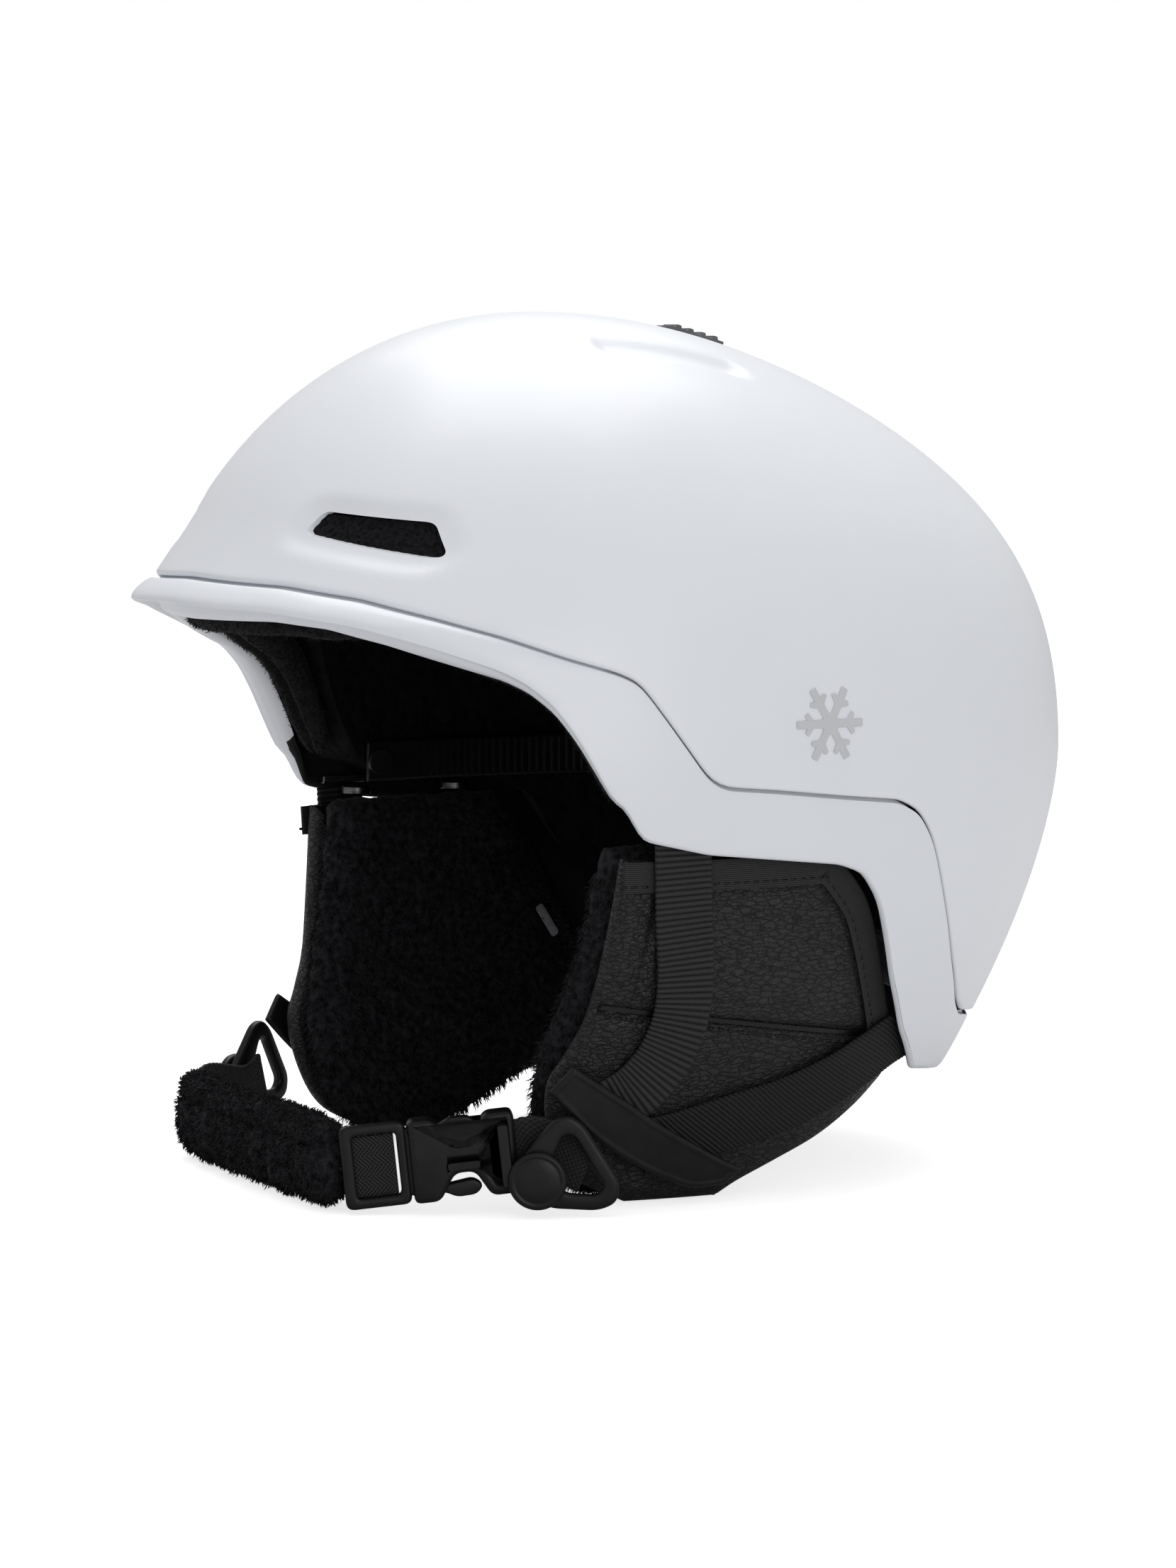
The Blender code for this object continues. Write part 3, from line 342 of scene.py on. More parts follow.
def woven(name, style, light=0.05):
    """Webbing, after its weave coordinates: rib, twill, herringbone, basket or tape; the weave is the
    webbing's own, its gaps painted darker as shade.
    """
    look = Look(name, (light * 0.6,) * 3, 0.62, Specular_IOR_Level=0.22)
    along, across = look.yarn()
    if style == "rib":
        coarse = look.wave(along, 1.6)
        fine = look.wave(across, 0.62)
    elif style == "twill":
        coarse = look.wave(look.maths("ADD", along, look.maths("MULTIPLY", across, 0.8)), 1.5)
        fine = look.wave(look.maths("SUBTRACT", across, along), 0.8)
    elif style == "herringbone":
        zigzag = look.maths("PINGPONG", across, 2.8)
        coarse = look.wave(look.maths("ADD", along, zigzag), 1.15)
        fine = look.wave(across, 0.7)
    elif style == "basket":
        coarse = look.maths("MAXIMUM", look.maths("MULTIPLY", look.wave(along, 1.5), look.wave(across, 1.5)),
                            look.maths("MULTIPLY", look.wave(look.maths("ADD", along, 0.75), 1.5),
                                       look.wave(look.maths("ADD", across, 0.75), 1.5)))
        fine = look.wave(look.maths("ADD", along, across), 0.5)
    else:
        coarse = look.wave(across, 0.55)
        fine = look.wave(along, 0.45)
    mixed = look.maths("MULTIPLY", coarse, look.maths("ADD", look.maths("MULTIPLY", fine, 0.35), 0.65))
    fibres = look.noise(0.35, 3.0)
    # painted shade: the colour follows the weave's relief, dark in the gaps between yarns and light on their
    # tops, with random fibre tone on top
    look.colour(look.maths("MULTIPLY", mixed, look.maths("ADD", fibres, 0.55)),
                (0.1, (light * 0.16,) * 3), (0.95, (light, light, light * 1.08)))
    relief = 0.1 if style == "tape" else 0.3
    look.bump((coarse, relief), (fine, relief / 3.0), (fibres, 0.06))
    return look.material


def brushed_steel():
    """Blackened steel, worn a little brighter along its brushing lines."""
    look = Look("brushed_steel", (0.14, 0.14, 0.15), 0.34, Metallic=1.0)
    lines = look.noise(1.0, 4.0, stretch=(0.2, 0.2, 3.0))
    look.colour(lines, (0.3, (0.09, 0.09, 0.095)), (0.7, (0.2, 0.2, 0.205)))
    look.roughness(lines, 0.22, 0.42)
    look.bump((lines, 0.01))
    return look.material


def thread():
    look = Look("sewing_thread", (0.002, 0.002, 0.002), 0.4, Specular_IOR_Level=0.3)
    strand = look.noise(0.3, 2.0)
    look.colour(strand, (0.35, (0.001, 0.001, 0.001)), (0.7, (0.004, 0.004, 0.004)))
    look.bump((strand, 0.05))
    return look.material


def pale_tab():
    look = Look("pale_tab", (0.30, 0.31, 0.33), 0.3, Transmission_Weight=0.3)
    look.colour(look.noise(3.0), (0.3, (0.24, 0.25, 0.27)), (0.7, (0.36, 0.37, 0.39)))
    look.bump((look.noise(0.6), 0.02))
    return look.material


def studio_floor():
    """Matt floor that glows for the camera only, so that it fades into the background."""
    look = Look("studio_floor", (0.70, 0.70, 0.70), 0.8, Specular_IOR_Level=0.1)
    look.colour(look.noise(400.0), (0.3, (0.695, 0.695, 0.695)), (0.7, (0.705, 0.705, 0.705)))
    look.set("Emission Color", (FLOOR_GLOW, FLOOR_GLOW, FLOOR_GLOW, 1.0))
    camera_ray = look.add("ShaderNodeLightPath").outputs["Is Camera Ray"]
    look.link(camera_ray, look.shader.inputs["Emission Strength"])
    return look.material


LOOKS = {
    "shell": painted_shell("white_satin_shell", (0.80, 0.82, 0.86), 0.38, 0.1),
    "lower_shell": painted_shell("white_gloss_shell", (0.78, 0.80, 0.845), 0.36, 0.1),
    "emblem": painted_shell("pale_grey_emblem", (0.58, 0.59, 0.61), 0.35, 0.1),
    "foam": bead_foam(),
    "fleece": pile_fabric("fleece", (0.003, 0.003, 0.0035), (0.013, 0.013, 0.015), 1.1, 0.3),
    "plush": pile_fabric("plush", (0.004, 0.004, 0.005), (0.024, 0.024, 0.028), 2.0, 0.5),
    "leather": grained_leather(),
    "rib_webbing": woven("rib_webbing", "rib", 0.034),
    "twill_webbing": woven("twill_webbing", "twill", 0.018),
    "herringbone_webbing": woven("herringbone_webbing", "herringbone", 0.035),
    "basket_webbing": woven("basket_webbing", "basket", 0.035),
    "binding_tape": woven("binding_tape", "tape", 0.036),
    "plastic": moulded_plastic("black_plastic", (0.006, 0.006, 0.007), 0.34),
    "grey_plastic": moulded_plastic("grey_plastic", (0.11, 0.112, 0.118), 0.46),
    "steel": brushed_steel(),
    # black material that paints the shade on the shells' inward faces
    "inside_shade": moulded_plastic("black_inside_shade", (0.006, 0.006, 0.007), 0.6),
    "thread": thread(),
    "tab": pale_tab(),
    "floor": studio_floor(),
}


# ------------------------------------------------------------------ dome surface
def smooth_step(value):
    value = np.clip(value, 0.0, 1.0)
    return value * value * (3.0 - 2.0 * value)


def half_axes(size, z, inset):
    """Front, rear and side reach and the centre of the plan section at height z."""
    top = size["top"] - inset
    rise = np.clip((z - WIDEST_Z) / (top - WIDEST_Z), 0.0, 1.0)
    drop = np.clip(WIDEST_Z - z, 0.0, None)
    round_off = np.sqrt(1.0 - rise ** 2)
    rear_swell = 1.0 + 0.18 * rise ** 2 - 0.55 * rise ** 4 + 0.25 * rise ** 6
    side_off = np.clip(1.0 - rise ** 2.15, 0.0, 1.0) ** (1.0 / 2.15)
    front = (size["front"] - inset) * round_off - 0.0012 * drop ** 2
    rear = (size["rear"] - inset) * round_off * rear_swell - size["tuck"] * drop ** 1.62
    side = (size["side"] - inset) * side_off - 0.0012 * drop ** 2
    return front, rear, side, CENTRE_SHIFT * round_off


def dome(size, degrees, z, inset=0.0):
    """Point of the dome at an angle from the front (towards the wearer's left) and a height."""
    degrees, z = np.broadcast_arrays(np.asarray(degrees, float), np.asarray(z, float))
    sin, cos = np.sin(np.radians(degrees)), -np.cos(np.radians(degrees))
    front, rear, side, centre = half_axes(size, z, inset)
    front = front + size["flare"] * (np.clip(190.0 - z, 0.0, 30.0) / 21.0) ** 2 * np.clip(-cos, 0.0, 1.0)
    along = np.where(cos < 0.0, front + centre, rear - centre)
    reach = (np.abs(sin) / np.maximum(side, 1e-6)) ** PLAN_POWER
    reach = reach + (np.abs(cos) / np.maximum(along, 1e-6)) ** PLAN_POWER
    radius = reach ** (-1.0 / PLAN_POWER)
    return np.stack([sin * radius, cos * radius + centre, z], axis=-1)


def dome_x(y, z, inset=0.0):
    """Half-width of the outer dome at a given y and height."""
    front, rear, side, centre = half_axes(OUTER, z, 0.0)
    along = np.where(y < centre, front + centre, rear - centre)
    share = np.minimum(np.abs(y - centre) / along, 0.999)
    return side * (1.0 - share ** PLAN_POWER) ** (1.0 / PLAN_POWER) - inset


def outward(degrees, distance):
    turn, distance = np.broadcast_arrays(np.radians(degrees), distance)
    return np.stack([np.sin(turn) * distance, -np.cos(turn) * distance, np.zeros_like(turn)], axis=-1)


def pad_x(y, z):
    """Outer face of the left ear pad."""
    return dome_x(y, z, PAD_INSET + 2.0 * np.maximum(97.0 - z, 0.0) / 97.0)


def pad_normal(y, z):
    along = (pad_x(y + 2.0, z) - pad_x(y - 2.0, z)) / 4.0
    rise = (pad_x(y, np.minimum(z + 2.0, 104.0)) - pad_x(y, z - 2.0)) / 4.0
    return unit(np.stack([np.ones_like(along), -along, -rise], axis=-1))


def on_pad(y, z, lift):
    """Point above the pad's outer face."""
    y, z = np.asarray(y, float), np.asarray(z, float)
    place = np.stack([pad_x(y, z), y, z], axis=-1)
    return place + pad_normal(y, z) * np.asarray(lift, float)[..., None]


def beside_pad(y, z, lift):
    """Point level with the pad's outer face and to the side of it."""
    return np.stack([pad_x(y, z) + lift, y, z], axis=-1)


TURN = np.arange(-180.0, 180.0, 0.25)


def rounded_edge(table, softness):
    """Heights of an edge all round the helmet, with its corners rounded."""
    angles, heights = zip(*table)
    plain = np.interp(np.abs(TURN), angles, heights)
    reach = np.arange(-16, 17) * 0.25
    weight = np.exp(-(reach / softness) ** 2)
    return np.convolve(np.pad(plain, 16, mode="wrap"), weight / weight.sum(), mode="valid")


SEAM_LINE = rounded_edge(SEAM, 1.3)
EDGE_LINE = rounded_edge(EDGE, 1.0)
FOAM_LINE = rounded_edge(FOAM_EDGE, 1.0)


def height_of(line, degrees):
    return np.interp(degrees, TURN, line, period=360.0)


def shell_angles(count):
    """Angles round the helmet, closer together where an edge runs steeply."""
    steep = sum(np.abs(np.gradient(line, TURN)) for line in (SEAM_LINE, EDGE_LINE))
    pace = np.cumsum(1.9 + 0.4 * steep)
    return np.interp(np.linspace(pace[0], pace[-1], count, endpoint=False), pace, TURN)


def from_front(angles):
    """Degrees from the front, to either side."""
    return np.abs((angles + 180.0) % 360.0 - 180.0)


def brim_share(angles):
    """1 over the brow, fading to 0 at the temples."""
    return 1.0 - smooth_step((from_front(angles) - 22.0) / 42.0)


def rim_share(angles):
    """1 over the brow, a half at the temples and 0 in front of the ear pads."""
    turned = from_front(angles)
    return 1.0 - 0.5 * smooth_step((turned - 22.0) / 38.0) - 0.5 * smooth_step((turned - 60.0) / 10.0)


def meridian(size, angles, low, rows, inset=0.0):
    """Rows of dome points from near the crown down to the edge heights."""
    top = size["top"] - inset
    phases = np.linspace(math.pi / 2.0, 0.0, rows + 1)[1:]
    return np.stack([dome(size, angles, low + (top - low) * math.sin(phase), inset) for phase in phases])


# ------------------------------------------------------------------ curves and outlines
def unit(vectors):
    return vectors / np.maximum(np.linalg.norm(vectors, axis=-1, keepdims=True), 1e-9)


def smooth_path(points, count, closed=False):
    """Points of a Catmull-Rom curve through the given ones."""
    points = np.asarray(points, float)
    if closed:
        ends = np.vstack([points[-1:], points, points[:2]])
    else:
        ends = np.vstack([2 * points[0] - points[1], points, 2 * points[-1] - points[-2]])
    spans = len(points) if closed else len(points) - 1
    places = np.linspace(0.0, spans, count, endpoint=not closed)
    i = np.minimum(places.astype(int), spans - 1)
    t = (places - i)[:, None]
    a, b, c, d = ends[i], ends[i + 1], ends[i + 2], ends[i + 3]
    bend = 2 * a - 5 * b + 4 * c - d
    return 0.5 * (2 * b + (c - a) * t + bend * t ** 2 + (3 * b - a - 3 * c + d) * t ** 3)


def level_normals(path):
    """Unit vectors to the left of a path, all of them level."""
    tangent = np.gradient(path, axis=0)
    return unit(np.stack([-tangent[:, 1], tangent[:, 0], np.zeros(len(path))], axis=1))


def run_length(points):
    steps = np.linalg.norm(np.diff(points, axis=0), axis=1)
    return np.concatenate([[0.0], np.cumsum(steps)])


def evenly(points, count, closed=False):
    """The same line with points an equal distance apart."""
    if closed:
        points = np.vstack([points, points[:1]])
    length = run_length(points)
    places = np.linspace(0.0, length[-1], count, endpoint=not closed)
    return np.stack([np.interp(places, length, column) for column in points.T], axis=1)


def rounded(outline, radius, steps=6):
    """Closed outline with each corner turned into a short curve."""
    outline = np.asarray(outline, float)
    result = []
    for i, corner in enumerate(outline):
        ends = []
        for other in (outline[i - 1], outline[(i + 1) % len(outline)]):
            reach = np.linalg.norm(other - corner)
            ends.append(corner + (other - corner) * min(radius / reach, 0.45))
        for t in np.linspace(0.0, 1.0, steps):
            result.append(ends[0] * (1 - t) ** 2 + corner * 2 * t * (1 - t) + ends[1] * t ** 2)
    return np.array(result)


def seen_from(centre, outline, count):
    """Closed outline sampled at equal angles round a centre."""
    fine = evenly(outline, 1200, closed=True) - centre
    angles, reach = np.arctan2(fine[:, 1], fine[:, 0]), np.linalg.norm(fine, axis=1)
    turn = np.linspace(-math.pi, math.pi, count, endpoint=False)
    order = np.argsort(angles)
    radius = np.interp(turn, angles[order], reach[order], period=2 * math.pi)
    return np.stack([np.cos(turn) * radius, np.sin(turn) * radius], axis=1) + centre


def inset(outline, distance):
    """Closed anticlockwise outline moved inwards."""
    along = unit(np.roll(outline, -1, axis=0) - np.roll(outline, 1, axis=0))
    return outline + np.stack([-along[:, 1], along[:, 0]], axis=1) * distance


def anticlockwise(outline):
    x, y = outline.T
    area = np.sum(x * np.roll(y, -1) - y * np.roll(x, -1))
    return outline if area > 0 else outline[::-1]


def outline_distance(points, outline):
    """Distance of flat points from a closed outline, and whether they are inside it."""
    nearest = np.full(len(points), 1e9)
    inside = np.zeros(len(points), bool)
    for a, b in zip(outline, np.roll(outline, -1, axis=0)):
        edge = b - a
        share = np.clip(((points - a) @ edge) / max(edge @ edge, 1e-12), 0.0, 1.0)
        nearest = np.minimum(nearest, np.linalg.norm(points - a - share[:, None] * edge, axis=1))
        crosses = (a[1] > points[:, 1]) != (b[1] > points[:, 1])
        with np.errstate(divide="ignore", invalid="ignore"):
            at = a[0] + (points[:, 1] - a[1]) * edge[0] / edge[1]
        inside ^= crosses & (points[:, 0] < at)
    return nearest, inside


# ------------------------------------------------------------------ mesh helpers
def world(points):
    return (np.asarray(points, float) - (0.0, MIDDLE_Y, 0.0)) * MM


def world_to_dome(point):
    return point[0] / MM, point[1] / MM + MIDDLE_Y, point[2] / MM


def link_mesh(name, points, faces, look):
    """Object from dome points and faces, its doubled points welded and its faces turned outwards."""
    mesh = bpy.data.meshes.new(name)
    mesh.from_pydata(world(points).tolist(), [], faces)
    bm = bmesh.new()
    bm.from_mesh(mesh)
    bmesh.ops.remove_doubles(bm, verts=bm.verts, dist=0.002 * MM)
    bmesh.ops.recalc_face_normals(bm, faces=bm.faces)
    bm.to_mesh(mesh)
    bm.free()
    mesh.shade_smooth()
    obj = bpy.data.objects.new(name, mesh)
    bpy.context.scene.collection.objects.link(obj)
    if look is not None:
        mesh.materials.append(LOOKS[look])
    return obj


def grid_faces(rows, columns, ring=True, around=False, start=0):
    r = np.arange(rows if around else rows - 1)
    c = np.arange(columns if ring else columns - 1)
    r, c = [part.ravel() for part in np.meshgrid(r, c, indexing="ij")]
    above, beside = (r + 1) % rows, (c + 1) % columns
    quads = [r * columns + c, r * columns + beside, above * columns + beside, above * columns + c]
    return (np.stack(quads, axis=1) + start).tolist()


def skin(name, rows, look, ring=True, around=False, caps=True, poles=(None, None)):
    """Skin over rows of points, closed by flat caps, by poles or by joining the last row to the first."""
    rows = np.asarray(rows, float)
    count, width = rows.shape[:2]
    points = rows.reshape(-1, 3)
    faces = grid_faces(count, width, ring, around)
    for pole, first in ((poles[0], 0), (poles[1], (count - 1) * width)):
        if pole is not None:
            points = np.vstack([points, [pole]])
            tip = len(points) - 1
            faces += [[first + i, first + (i + 1) % width, tip] for i in range(width)]
        elif caps and not around:
            faces.append([first + i for i in range(width)])
    return link_mesh(name, points, faces, look)


def set_weave(obj, along, across):
    """Weave coordinates in millimetres, one pair for each point."""
    values = np.zeros((len(obj.data.vertices), 3), np.float32)
    values[:, 0], values[:, 1] = along, across
    layer = obj.data.attributes.new("weave", "FLOAT_VECTOR", "POINT")
    layer.data.foreach_set("vector", values.ravel())


def sharpen(obj, degrees=40.0):
    obj.data.set_sharp_from_angle(angle=math.radians(degrees))
    return obj


def carve(obj, *tools):
    """Cut tools out of a mesh for good."""
    for tool in tools:
        cut = obj.modifiers.new("cut", "BOOLEAN")
        cut.operation = "DIFFERENCE"
        cut.object = tool
    keep_result(obj)
    for tool in tools:
        bpy.data.objects.remove(tool, do_unlink=True)
    return obj


def keep_result(obj):
    """Replace an object's mesh with what its modifiers make of it."""
    graph = bpy.context.evaluated_depsgraph_get()
    made = bpy.data.meshes.new_from_object(obj.evaluated_get(graph), depsgraph=graph)
    obj.modifiers.clear()
    obj.data = made


def points_of(obj):
    points = np.empty(len(obj.data.vertices) * 3, np.float32)
    obj.data.vertices.foreach_get("co", points)
    return points.reshape(-1, 3).astype(float)


def normals_of(obj):
    normals = np.empty(len(obj.data.vertices) * 3, np.float32)
    obj.data.vertex_normals.foreach_get("vector", normals)
    return normals.reshape(-1, 3).astype(float)


def move_points(obj, points):
    obj.data.vertices.foreach_set("co", points.astype(np.float32).ravel())
    obj.data.update()


def ruffle(obj, *layers):
    """Push points along their normals by layers of noise, each (blob size, height) in millimetres."""
    points, normals = points_of(obj), normals_of(obj)
    rise = np.zeros(len(points))
    for size, height in layers:
        rise += [noise.noise(Vector(p / (size * MM))) * height * MM for p in points]
    points += normals * rise[:, None]
    points[:, 2] = np.maximum(points[:, 2], 0.0)
    move_points(obj, points)


def mirror_image(obj, name):
    """Copy on the other side of the helmet."""
    mesh = obj.data.copy()
    mesh.name = name
    mesh.transform(Matrix.Scale(-1.0, 4, (1.0, 0.0, 0.0)))
    mesh.flip_normals()
    twin = bpy.data.objects.new(name, mesh)
    bpy.context.scene.collection.objects.link(twin)
    return twin


def place_piece(obj, body, slot, *nodes):
    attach(obj, body)
    if nodes:
        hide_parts(*nodes)
    return obj


def both_sides(obj, body, slot, *nodes):
    """Place a piece named ..._left and its mirror image, which stand for the CAD nodes of the same sides."""
    twin = mirror_image(obj, obj.name.replace("_left", "_right"))
    for piece, side in ((obj, "left"), (twin, "right")):
        place_piece(piece, body.replace("SIDE", side), slot, *[f"{node}_{side}" for node in nodes])
    return obj, twin


def refined(node, look, body, slot, width=0.5, name=None):
    """CAD solid with rounded edges."""
    mesh = frame["nodes"][node].data.copy()
    bm = bmesh.new()
    bm.from_mesh(mesh)
    bmesh.ops.remove_doubles(bm, verts=bm.verts, dist=0.005 * MM)
    bmesh.ops.dissolve_limit(bm, angle_limit=math.radians(2.0), verts=bm.verts, edges=bm.edges)
    bm.to_mesh(mesh)
    bm.free()
    mesh.materials.clear()
    mesh.materials.append(LOOKS[look])
    mesh.shade_smooth()
    obj = bpy.data.objects.new(name or node + "_fine", mesh)
    bpy.context.scene.collection.objects.link(obj)
    edge = obj.modifiers.new("Rounded edges", "BEVEL")
    edge.width = width * MM
    edge.segments = 3
    edge.limit_method = "ANGLE"
    edge.angle_limit = math.radians(35)
    edge.harden_normals = False
    obj.modifiers.new("Even shading", "WEIGHTED_NORMAL").keep_sharp = True
    return place_piece(obj, body, slot, node)


def spread(low, high, count):
    """Values from low to high, closer together near both ends."""
    return low + (high - low) * (0.5 - 0.5 * np.cos(np.linspace(0.0, math.pi, count)))


def pillow(name, grid, low, high, radius, to_point, look, sink=None):
    """Closed form over a grid of (u, v) whose two faces meet in a round edge; sink lowers the upper face."""
    flat = grid.reshape(-1, 2)
    outline = np.vstack([grid[0], grid[1:-1, -1], grid[-1, ::-1], grid[-2:0:-1, 0]])
    distance = outline_distance(flat, evenly(outline, 260, closed=True))[0]
    inward = np.clip(distance / radius, 0.0, 1.0)
    border = np.zeros(grid.shape[:2], bool)
    border[[0, -1]] = border[:, [0, -1]] = True
    inward[border.ravel()] = 0.0
    fullness = np.sqrt(1.0 - (1.0 - inward) ** 2)
    middle = (low + high) / 2.0
    upper = middle + (high - middle) * fullness
    if sink is not None:
        upper = upper - sink(flat, distance) * smooth_step(inward * 2.0)
    lower = middle - (middle - low) * fullness
    shape = grid.shape[:2]
    top = to_point(flat[:, 0], flat[:, 1], upper).reshape(*shape, 3)
    bottom = to_point(flat[:, 0], flat[:, 1], lower).reshape(*shape, 3)
    rows = np.concatenate([top, bottom[:, ::-1]], axis=1)
    return skin(name, rows, look, caps=False)


def soft_prism(name, outline, half, radius, to_point, look, hole=None, steps=5):
    """Flat plate with round edges, from (u, v) outlines; a hole has as many points as the outline."""
    def side_of(loop, sign):
        rows = []
        for turn in np.linspace(math.pi / 2.0, -math.pi / 2.0, 2 * steps):
            flat = inset(loop, sign * radius * (1.0 - math.cos(turn)))
            depth = (half - radius) * (1.0 if turn > 0 else -1.0) + radius * math.sin(turn)
            rows.append(to_point(flat[:, 0], flat[:, 1], np.full(len(flat), depth)))
        return rows

    outline = anticlockwise(outline)
    rows = side_of(outline, 1.0)
    if hole is None:
        return skin(name, rows, look)
    return skin(name, rows + side_of(anticlockwise(hole), -1.0)[::-1], look, around=True)


def in_frame(matrix):
    """Function that places (u, v, w) arrays in a frame."""
    turn, origin = np.array(matrix.to_3x3()), np.array(matrix.translation)
    return lambda u, v, w: np.stack([u, v, w], axis=-1) @ turn.T + origin


def strap(name, points, normals, width, wall, look, rib=0.0, pitch=1.6, step=0.4, selvedge=0.25):
    """Woven strap along a line, its ribs and thick edges in the mesh and its weave in coordinates."""
    points, normals = np.asarray(points, float), np.asarray(normals, float)
    count = max(int(run_length(points)[-1] / step), 8)
    both = np.hstack([points, normals])
    length = run_length(points)
    places = np.linspace(0.0, length[-1], count)
    both = np.stack([np.interp(places, length, column) for column in both.T], axis=1)
    points, normals = both[:, :3], both[:, 3:]
    tangent = unit(np.gradient(points, axis=0))
    side = unit(np.cross(normals, tangent))
    lift = unit(np.cross(tangent, side))
    v = np.concatenate([spread(-1.0, 1.0, 20), spread(1.0, -1.0, 20)[1:-1]])
    face = np.concatenate([np.ones(20), -np.ones(18)])
    face[[0, 19]] = 0.0
    thick = wall / 2.0 * (1.0 - np.abs(v) ** 8) ** 0.25
    thick = thick * (1.0 + selvedge * np.exp(-((np.abs(v) - 0.86) / 0.07) ** 2))
    fade = 1.0 - 0.7 * smooth_step((places / length[-1] - 0.55) / 0.3)
    waves = rib * fade * (np.abs(np.sin(places * math.pi / pitch)) - 1.0)
    height = thick[None, :] + waves[:, None] * (np.abs(v) < 0.93)
    wobble = 0.12 * np.sin(places * 2.1 * math.pi / pitch)[:, None] * (np.abs(v) > 0.9)
    across = (width / 2.0 + wobble) * v
    rows = (points[:, None] + side[:, None] * across[..., None] + lift[:, None] * (height * face)[..., None])
    obj = skin(name, rows, look)
    set_weave(obj, np.repeat(places, len(v)), np.tile(v * width / 2.0, count))
    return obj


def stitches(name, points, normals, length=2.2, pitch=2.9, radius=0.42):
    """Row of thread stitches along a line, joined in one piece."""
    count = max(int(run_length(points)[-1] / pitch), 2)
    both = evenly(np.hstack([points, normals]), count)
    points, normals = both[:, :3], unit(both[:, 3:])
    tangent = unit(np.gradient(points, axis=0))
    side = np.cross(normals, tangent)
    turn = np.linspace(0.0, 2 * math.pi, 7)[:-1]
    rows, faces, start = [], [], 0
    for point, along, across, up in zip(points, tangent, side, normals):
        for share in (-0.5, -0.38, 0.0, 0.38, 0.5):
            size = radius * (0.35 if abs(share) == 0.5 else 1.0)
            dip = -radius * 0.9 * (abs(share) * 2.0) ** 3
            rows.append(point + along * share * length + up * dip
                        + size * (np.cos(turn)[:, None] * across + np.sin(turn)[:, None] * up * 0.8))
        faces += grid_faces(5, 6, start=start)
        faces += [[start + i for i in range(6)], [start + 24 + i for i in range(6)]]
        start += 30
    return link_mesh(name, np.vstack(rows), faces, "thread")


def pile(obj, count, length, width, droop=0.3, keep=None):
    """Tapered tufts standing on a piece, as one mesh that goes with it."""
    points, normals = points_of(obj) / MM + (0.0, MIDDLE_Y, 0.0), normals_of(obj)
    choice = np.arange(len(points)) if keep is None else np.flatnonzero(keep(points))
    choice = random.choice(choice, count)
    lean = unit(normals[choice] + random.normal(0.0, 0.38, (count, 3)) + (0.0, 0.0, -droop))
    root = points[choice] + random.normal(0.0, 0.35, (count, 3)) - normals[choice] * 0.3
    reach = length * random.uniform(0.55, 1.0, (count, 1))
    curl = unit(lean + random.normal(0.0, 0.35, (count, 3)) + (0.0, 0.0, -droop))
    side = unit(np.cross(lean, random.normal(0.0, 1.0, (count, 3))))
    other = np.cross(lean, side)
    corners = [side, -0.5 * side + 0.866 * other, -0.5 * side - 0.866 * other]
    rings = [root + corner * width / 2 for corner in corners]
    rings += [root + lean * reach * 0.55 + corner * width * 0.36 for corner in corners]
    tip = root + lean * reach * 0.55 + curl * reach * 0.45
    tufts = np.stack(rings + [tip], axis=1).reshape(-1, 3)
    tufts[:, 2] = np.maximum(tufts[:, 2], 0.0)
    pattern = np.array([[0, 1, 4, 3], [1, 2, 5, 4], [2, 0, 3, 5]])
    caps = np.array([[3, 4, 6], [4, 5, 6], [5, 3, 6], [2, 1, 0]])
    starts = np.arange(count)[:, None, None] * 7
    faces = (starts + pattern).reshape(-1, 4).tolist() + (starts + caps).reshape(-1, 3).tolist()
    mesh = bpy.data.meshes.new(obj.name + "_pile")
    mesh.from_pydata(world(tufts).tolist(), [], faces)
    mesh.materials.append(obj.data.materials[0])
    mesh.shade_smooth()
    made = bpy.data.objects.new(mesh.name, mesh)
    bpy.context.scene.collection.objects.link(made)
    return made


def puff(obj, voxel, pressure, cap, frames=20):
    """Swell a closed form with a short cloth simulation and keep the result."""
    scene = bpy.context.scene
    coarse = obj.modifiers.new("Even mesh", "REMESH")
    coarse.mode = "VOXEL"
    coarse.voxel_size = voxel * MM
    keep_result(obj)
    rest = points_of(obj)
    cloth = obj.modifiers.new("Cloth", "CLOTH")
    cloth.settings.use_pressure = True
    cloth.settings.uniform_pressure_force = pressure
    cloth.settings.effector_weights.gravity = 0.0
    cloth.settings.quality = 4
    cloth.collision_settings.use_collision = False
    cloth.point_cache.frame_start = 1
    cloth.point_cache.frame_end = frames
    for number in range(1, frames + 1):
        scene.frame_set(number)
    keep_result(obj)
    scene.frame_set(1)
    step = points_of(obj) - rest
    far = np.linalg.norm(step, axis=1, keepdims=True)
    move_points(obj, rest + step * np.minimum(1.0, cap * MM / np.maximum(far, 1e-9)))
    finer = obj.modifiers.new("Finer", "SUBSURF")
    finer.levels = finer.render_levels = 1
    keep_result(obj)
    obj.data.shade_smooth()
    return obj


# ------------------------------------------------------------------ hard shells
def grid_normals(points):
    around = np.roll(points, -1, axis=1) - np.roll(points, 1, axis=1)
    normals = unit(np.cross(around, np.gradient(points, axis=0)))
    outwards = ((points - (0.0, CENTRE_SHIFT, WIDEST_Z)) * normals).sum(-1).mean()
    return normals * math.copysign(1.0, outwards)


def vent_outline(side):
    return inset(anticlockwise(rounded(BROW_VENT, 1.7)), -0.5) * (side, 1.0)


